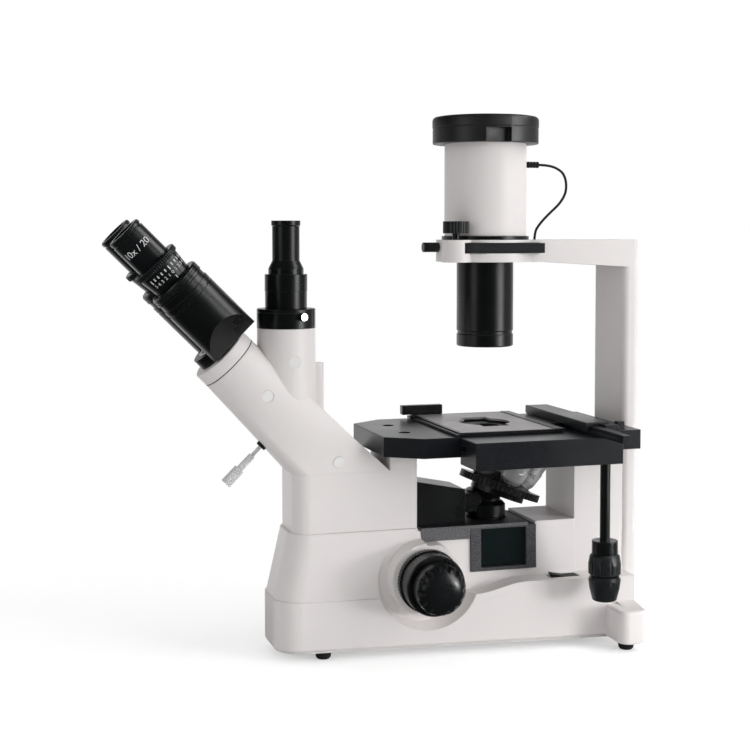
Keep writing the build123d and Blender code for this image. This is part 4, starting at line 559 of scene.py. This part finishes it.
def flare_radius(height):
    """The dioptre ring's radius at a height on its flare."""
    share = (height - flare_low[1]) / (flare_high[1] - flare_low[1])
    return flare_low[0] + (flare_high[0] - flare_low[0]) * share


def scale_turn(hand, step):
    """Where a mark of the scale stands round its ring, on the outer side of each eyepiece."""
    return scale_start[hand] + scale_step * step


for hand_name, hand in sides.items():
    axis = eye_axis(hand)
    housing = f"{hand_name}_eye_tube"
    dioptre = f"{hand_name}_dioptre"
    collar = turned(axis, collar_outline, ring_turns)
    piece(f"{hand_name}_housing_collar", collar, housing, black_paint, smooth=True)
    ring = turned(axis, ring_outline, ring_turns, milled)
    ring = piece(f"{hand_name}_scale_ring", ring, dioptre, black_plastic, smooth=True)
    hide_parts(f"{hand_name}_dioptre_ring")
    ticks = []
    for step in range(scale_marks):
        middle = scale_turn(hand, step)
        foot = long_tick_foot if step % scale_middle == 0 else tick_foot
        ticks.append((middle - tick_half, middle + tick_half, foot, tick_top))
    marks = wrapped_boxes(axis, flare_radius(tick_height), tick_proud, ticks)
    piece(f"{hand_name}_dioptre_ticks", marks, dioptre, print_white)
    numbers = []
    for step in range(scale_marks):
        numbers.append((str(abs(step - scale_middle)), scale_turn(hand, step), number_height))
    marks = wrapped_texts(axis, flare_radius(number_height), number_proud, numbers, number_size)
    piece(f"{hand_name}_dioptre_numbers", marks, dioptre, print_white)
    marks = wrapped_boxes(axis, flare_radius(index_height), index_proud, [index_box])
    piece(f"{hand_name}_dioptre_index", marks, dioptre, print_white)
    words = [(marking, marking_turn[hand], marking_height)]
    marks = wrapped_texts(axis, barrel_radius, marking_proud, words, marking_size)
    piece(f"{hand_name}_eyepiece_marking", marks, f"{hand_name}_ocular", print_white)

# Head: a dark seam below the hinge hub and a dark bush where the beam-splitter rod comes out
hub_axis = Axis((0.0, hub_y, hub_z), eye_along, across)
seam = turned(hub_axis, box_section(inner=27.8, outer=28.55, low=0.05, high=0.65), ring_turns)
piece("hinge_seam", seam, "stand", rubber, smooth=True)
rod_axis = Axis((0.0, port_y, hub_z + hub_y - port_y), (0.0, -slant, -slant), across)
bush_outline = section(((3.4, 31.0), (4.8, 31.0), (4.8, 34.2), (4.4, 34.7), (3.4, 34.7)))
bush = turned(rod_axis, bush_outline, all_round(60))
piece("rod_bush", bush, "stand", black_plastic, smooth=True)

# Lamp cap: rounded top, seam line, and a finger recess with one slanted side on either hand
cap_axis = Axis((0.0, 0.0, 0.0), (0.0, 0.0, 1.0), across)
cap_bore = 39.5
cap_foot = 467.6
cap_hollow = section(((20.0, 486.3), (cap_bore, 486.3), (cap_bore, cap_foot)))
cap_skirt = section(((49.4, cap_foot), (49.7, 468.1), (49.7, 480.6)), "skirt")
cap_crown = section((
    (49.7, 480.7), (49.7, 481.4), (49.0, 481.6), (49.0, 482.3), (50.0, 482.5), (50.0, 489.3), (49.3, 491.3),
    (47.8, 492.4), (45.6, 492.8), (20.0, 492.9),
))
recess_places = (0.0, 180.0)
recess_turns = (-20.4, -20.3, -12.0, 7.1, 7.2)
recess_depths = (0.0, 0.6, 6.0, 6.0, 0.0)
recess_from = -21.0
recess_to = 8.0
same_turn = 0.01


def turn_from(middle, turn):
    """A turn measured from a middle, between -180 and 180 degrees."""
    return (turn - middle + 180.0) % 360.0 - 180.0


cap_turns = all_round(120)
for recess in recess_places:
    cap_turns = [turn for turn in cap_turns if not recess_from < turn_from(recess, turn) < recess_to]
    cap_turns += [(turn + recess) % 360.0 for turn in recess_turns]
cap_turns.sort()


def recessed(kind, height, index, turn):
    """Draws the skirt in where the finger recesses are."""
    if kind != "skirt":
        return 0.0
    for recess in recess_places:
        for recess_turn, depth in zip(recess_turns, recess_depths):
            if abs(turn_from(recess, turn) - recess_turn) < same_turn:
                return depth
    return 0.0


cap = turned(cap_axis, cap_hollow + cap_skirt + cap_crown, cap_turns, recessed, closed=False)
cap = piece("vented_cap", cap, "cap", cap_plastic, smooth=True)
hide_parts("lamp_cap")

# Fine knobs: domed, with deep finger dimples on the shoulder. Coarse knobs: milling on the rim
focus_y = -75.2
focus_z = 70.6
crown_radius = 3.0
shoulder_width = 19.9
shoulder_foot = 88.8
shoulder_rise = 13.2
shoulder_power = 0.8
shoulder_steps = 22
knob_outline = section(((17.0, 78.2), (22.2, 78.2), (22.9, 79.0), (22.9, 88.6)))
for step in range(shoulder_steps + 1):
    sweep = math.radians(90.0 * step / shoulder_steps)
    radius = crown_radius + shoulder_width * math.cos(sweep) ** shoulder_power
    knob_outline.append((radius, shoulder_foot + shoulder_rise * math.sin(sweep), "shoulder"))
fine_turns = all_round(360)
dimple_low = 90.5
dimple_high = 98.9
dimple_pitch = 25.714
dimple_start = 12.86
dimple_half = 7.6
dimple_depth = 2.1
rim_outline = box_section(inner=27.0, outer=28.9, low=54.4, high=60.1, kind="milled")


def dimpled(kind, height, index, turn):
    """How deep the finger dimples are at a place on a fine knob."""
    along = (height - (dimple_low + dimple_high) / 2) / (dimple_high - dimple_low) * 2
    aside = ((turn + dimple_start) % dimple_pitch - dimple_pitch / 2) / dimple_half
    reach = along * along + aside * aside
    return dimple_depth * (1.0 - reach) if reach < 1.0 else 0.0


for hand_name, hand in sides.items():
    axis = Axis((0.0, focus_y, focus_z), (hand, 0.0, 0.0), (0.0, 1.0, 0.0))
    knob = turned(axis, knob_outline, fine_turns, dimpled, closed=False)
    knob = piece(f"{hand_name}_dimpled_knob", knob, "fine_drive", black_plastic, smooth=True)
    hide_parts(f"{hand_name}_fine_knob")
    rim = turned(axis, rim_outline, ring_turns, milled)
    piece(f"{hand_name}_rim_milling", rim, "coarse_drive", black_plastic, smooth=True)

# Specimen holder: dark rear bar beside the plate and a small clip at the far corner
holder_foot = 202.5
bar_top = 205.9
clip_top = 205.3
block_ease = 0.3


def plate_block(x_low, x_high, y_low, y_high, top):
    """A flat block on the specimen holder, its top edge eased."""
    outline = ((x_low, y_low), (x_high, y_low), (x_high, y_high), (x_low, y_high))
    middle_x = (x_low + x_high) / 2
    middle_y = (y_low + y_high) / 2
    verts = [place(x, y, holder_foot) for x, y in outline]
    verts += [place(x, y, top - block_ease) for x, y in outline]
    for x, y in outline:
        ease_x = math.copysign(block_ease, middle_x - x)
        ease_y = math.copysign(block_ease, middle_y - y)
        verts.append(place(x + ease_x, y + ease_y, top))
    count = len(outline)
    faces = [tuple(range(count)), tuple(range(2 * count, 3 * count))]
    for row in (0, count):
        for side in range(count):
            after = (side + 1) % count
            faces.append((row + side, row + after, row + count + after, row + count + side))
    return verts, faces


bar = plate_block(x_low=-67.0, x_high=67.0, y_low=43.5, y_high=52.5, top=bar_top)
piece("holder_rear_bar", bar, "specimen_slide", stage_paint)
clip = plate_block(x_low=-66.0, x_high=-56.0, y_low=-55.5, y_high=-49.0, top=clip_top)
piece("holder_clip", clip, "specimen_slide", black_plastic)

# Numbers on the objectives, in their order round the turret from the one in use
turret_tilt = math.radians(20.5)
turret_apex = (0.0, 0.0, 101.7)
turret_along = Vector((0.0, math.sin(turret_tilt), math.cos(turret_tilt)))
turret_back = Vector((0.0, math.cos(turret_tilt), -math.sin(turret_tilt)))
objectives = (
    ("10x", 66.5),
    ("4x", 65.5),
    ("40x", 67.5),
    ("20x", 66.5),
)
print_radius = 12.0
print_proud = 0.06
print_size = 5.0
for station, (power, text_height) in enumerate(objectives):
    around = math.radians(90.0 * station)
    outward = turret_back * -math.cos(around) + Vector((math.sin(around), 0.0, 0.0))
    along = turret_along * math.cos(turret_tilt) + outward * math.sin(turret_tilt)
    side_on = turret_back * math.sin(around) + Vector((math.cos(around), 0.0, 0.0))
    labels = [(power, angle, text_height) for angle in (0.0, 180.0)]
    marks = wrapped_texts(Axis(turret_apex, along, side_on), print_radius, print_proud, labels, print_size)
    piece(f"objective_{power}_number", marks, "turret_group", black_plastic)


# Floor, light and background
def either(tree, outputs):
    """The largest of several light path outputs."""
    seen = outputs[0]
    for output in outputs[1:]:
        node = tree.nodes.new("ShaderNodeMath")
        node.operation = "MAXIMUM"
        tree.links.new(seen, node.inputs[0])
        tree.links.new(output, node.inputs[1])
        seen = node.outputs["Value"]
    return seen


# The room in front of the object is darker than the white backdrop behind and beneath it
room = Vector((0.956, -0.292, 0.25)).normalized()
room_glow = 0.03
floor_half = 6.0
floor_z = -0.0002
floor_glow = 0.42
paper_scale = 40.0
paper_tones = ((0.88, 0.88, 0.88), (0.9, 0.9, 0.9))
white_from = 0.35
white_to = 0.9
floor_dim_from = -0.5
floor_dim_to = -0.1
seen_rays = ("Is Camera Ray", "Is Glossy Ray", "Is Transmission Ray")
floor_paint = bpy.data.materials.new("floor_paint")
floor_paint.use_nodes = True
tree = floor_paint.node_tree
diffuse = tree.nodes["Principled BSDF"]
coords = tree.nodes.new("ShaderNodeTexCoord").outputs["Object"]
paper = noise(tree, coords, paper_scale)
tree.links.new(blend(tree, paper, *paper_tones), diffuse.inputs["Base Color"])
diffuse.inputs["Roughness"].default_value = 0.9
diffuse.inputs["Specular IOR Level"].default_value = 0.0
glow = tree.nodes.new("ShaderNodeEmission")
glow.inputs["Strength"].default_value = floor_glow
lit = tree.nodes.new("ShaderNodeAddShader")
tree.links.new(diffuse.outputs["BSDF"], lit.inputs[0])
tree.links.new(glow.outputs["Emission"], lit.inputs[1])
away = tree.nodes.new("ShaderNodeVectorMath")
away.operation = "LENGTH"
tree.links.new(coords, away.inputs[0])
far_white = tree.nodes.new("ShaderNodeEmission")
front = tree.nodes.new("ShaderNodeVectorMath")
front.operation = "DOT_PRODUCT"
front.inputs[1].default_value = room
tree.links.new(coords, front.inputs[0])
near_far = tree.nodes.new("ShaderNodeMixShader")
tree.links.new(spread(tree, away.outputs["Value"], 0.0, 1.0, white_from, white_to), near_far.inputs["Fac"])
tree.links.new(lit.outputs["Shader"], near_far.inputs[1])
tree.links.new(far_white.outputs["Emission"], near_far.inputs[2])
paths = tree.nodes.new("ShaderNodeLightPath")
rays = either(tree, [paths.outputs[ray] for ray in seen_rays])
shown = tree.nodes.new("ShaderNodeMixShader")
tree.links.new(rays, shown.inputs["Fac"])
tree.links.new(diffuse.outputs["BSDF"], shown.inputs[1])
tree.links.new(near_far.outputs["Shader"], shown.inputs[2])
dim = tree.nodes.new("ShaderNodeEmission")
dimmed = spread(tree, front.outputs["Value"], 1.0, room_glow, floor_dim_from, floor_dim_to)
tree.links.new(dimmed, dim.inputs["Strength"])
mirrored = tree.nodes.new("ShaderNodeMixShader")
tree.links.new(paths.outputs["Is Glossy Ray"], mirrored.inputs["Fac"])
tree.links.new(shown.outputs["Shader"], mirrored.inputs[1])
tree.links.new(dim.outputs["Emission"], mirrored.inputs[2])
tree.links.new(mirrored.outputs["Shader"], tree.nodes["Material Output"].inputs["Surface"])

mesh = bpy.data.meshes.new("floor")
corners = [(x * floor_half, y * floor_half, floor_z) for x, y in ((-1, -1), (1, -1), (1, 1), (-1, 1))]
mesh.from_pydata(corners, [], [(0, 1, 2, 3)])
mesh.materials.append(floor_paint)
floor = bpy.data.objects.new("floor", mesh)
scene.collection.objects.link(floor)


def soft_light(name, spot, size, power, aim=(0.0, -20.0, 230.0), spread_angle=180.0):
    """An area light of a size in metres at a spot, aimed at a point, both in millimetres."""
    data = bpy.data.lights.new(name, "AREA")
    data.shape = "RECTANGLE"
    data.size = size[0]
    data.size_y = size[1]
    data.energy = power
    data.spread = math.radians(spread_angle)
    light = bpy.data.objects.new(name, data)
    light.location = place(*spot)
    light.rotation_euler = (place(*aim) - place(*spot)).to_track_quat("-Z", "Y").to_euler()
    scene.collection.objects.link(light)


soft_light("key", spot=(1250.0, 1250.0, 450.0), size=(0.75, 1.6), power=17.0)
soft_light("upper", spot=(250.0, 1150.0, 1450.0), size=(0.9, 0.7), power=8.0)
soft_light("fill", spot=(700.0, -1600.0, 700.0), size=(0.7, 1.3), power=2.6)
soft_light(
    "low", spot=(1000.0, 1020.0, 120.0), size=(0.4, 0.2), power=0.15, aim=(60.0, 20.0, 0.0), spread_angle=24.0
)

world_glow = 0.52
world_dim_from = -0.95
world_dim_to = -0.55
world = bpy.data.worlds.new("studio")
world.use_nodes = True
scene.world = world
tree = world.node_tree
background = tree.nodes["Background"]
paths = tree.nodes.new("ShaderNodeLightPath")
rays = either(tree, [paths.outputs[ray] for ray in seen_rays])
level = spread(tree, rays, world_glow, 1.0, 0.0, 1.0)
toward = tree.nodes.new("ShaderNodeVectorMath")
toward.operation = "DOT_PRODUCT"
toward.inputs[1].default_value = room
tree.links.new(tree.nodes.new("ShaderNodeTexCoord").outputs["Generated"], toward.inputs[0])
shade = spread(tree, toward.outputs["Value"], 1.0, room_glow, world_dim_from, world_dim_to)
glossy = tree.nodes.new("ShaderNodeMix")
glossy.data_type = "FLOAT"
tree.links.new(paths.outputs["Is Glossy Ray"], glossy.inputs["Factor"])
tree.links.new(level, glossy.inputs["A"])
tree.links.new(shade, glossy.inputs["B"])
tree.links.new(glossy.outputs["Result"], background.inputs["Strength"])
background.inputs["Color"].default_value = (1.0, 1.0, 1.0, 1.0)
scene.view_settings.view_transform = "Standard"

bpy.context.view_layer.update()
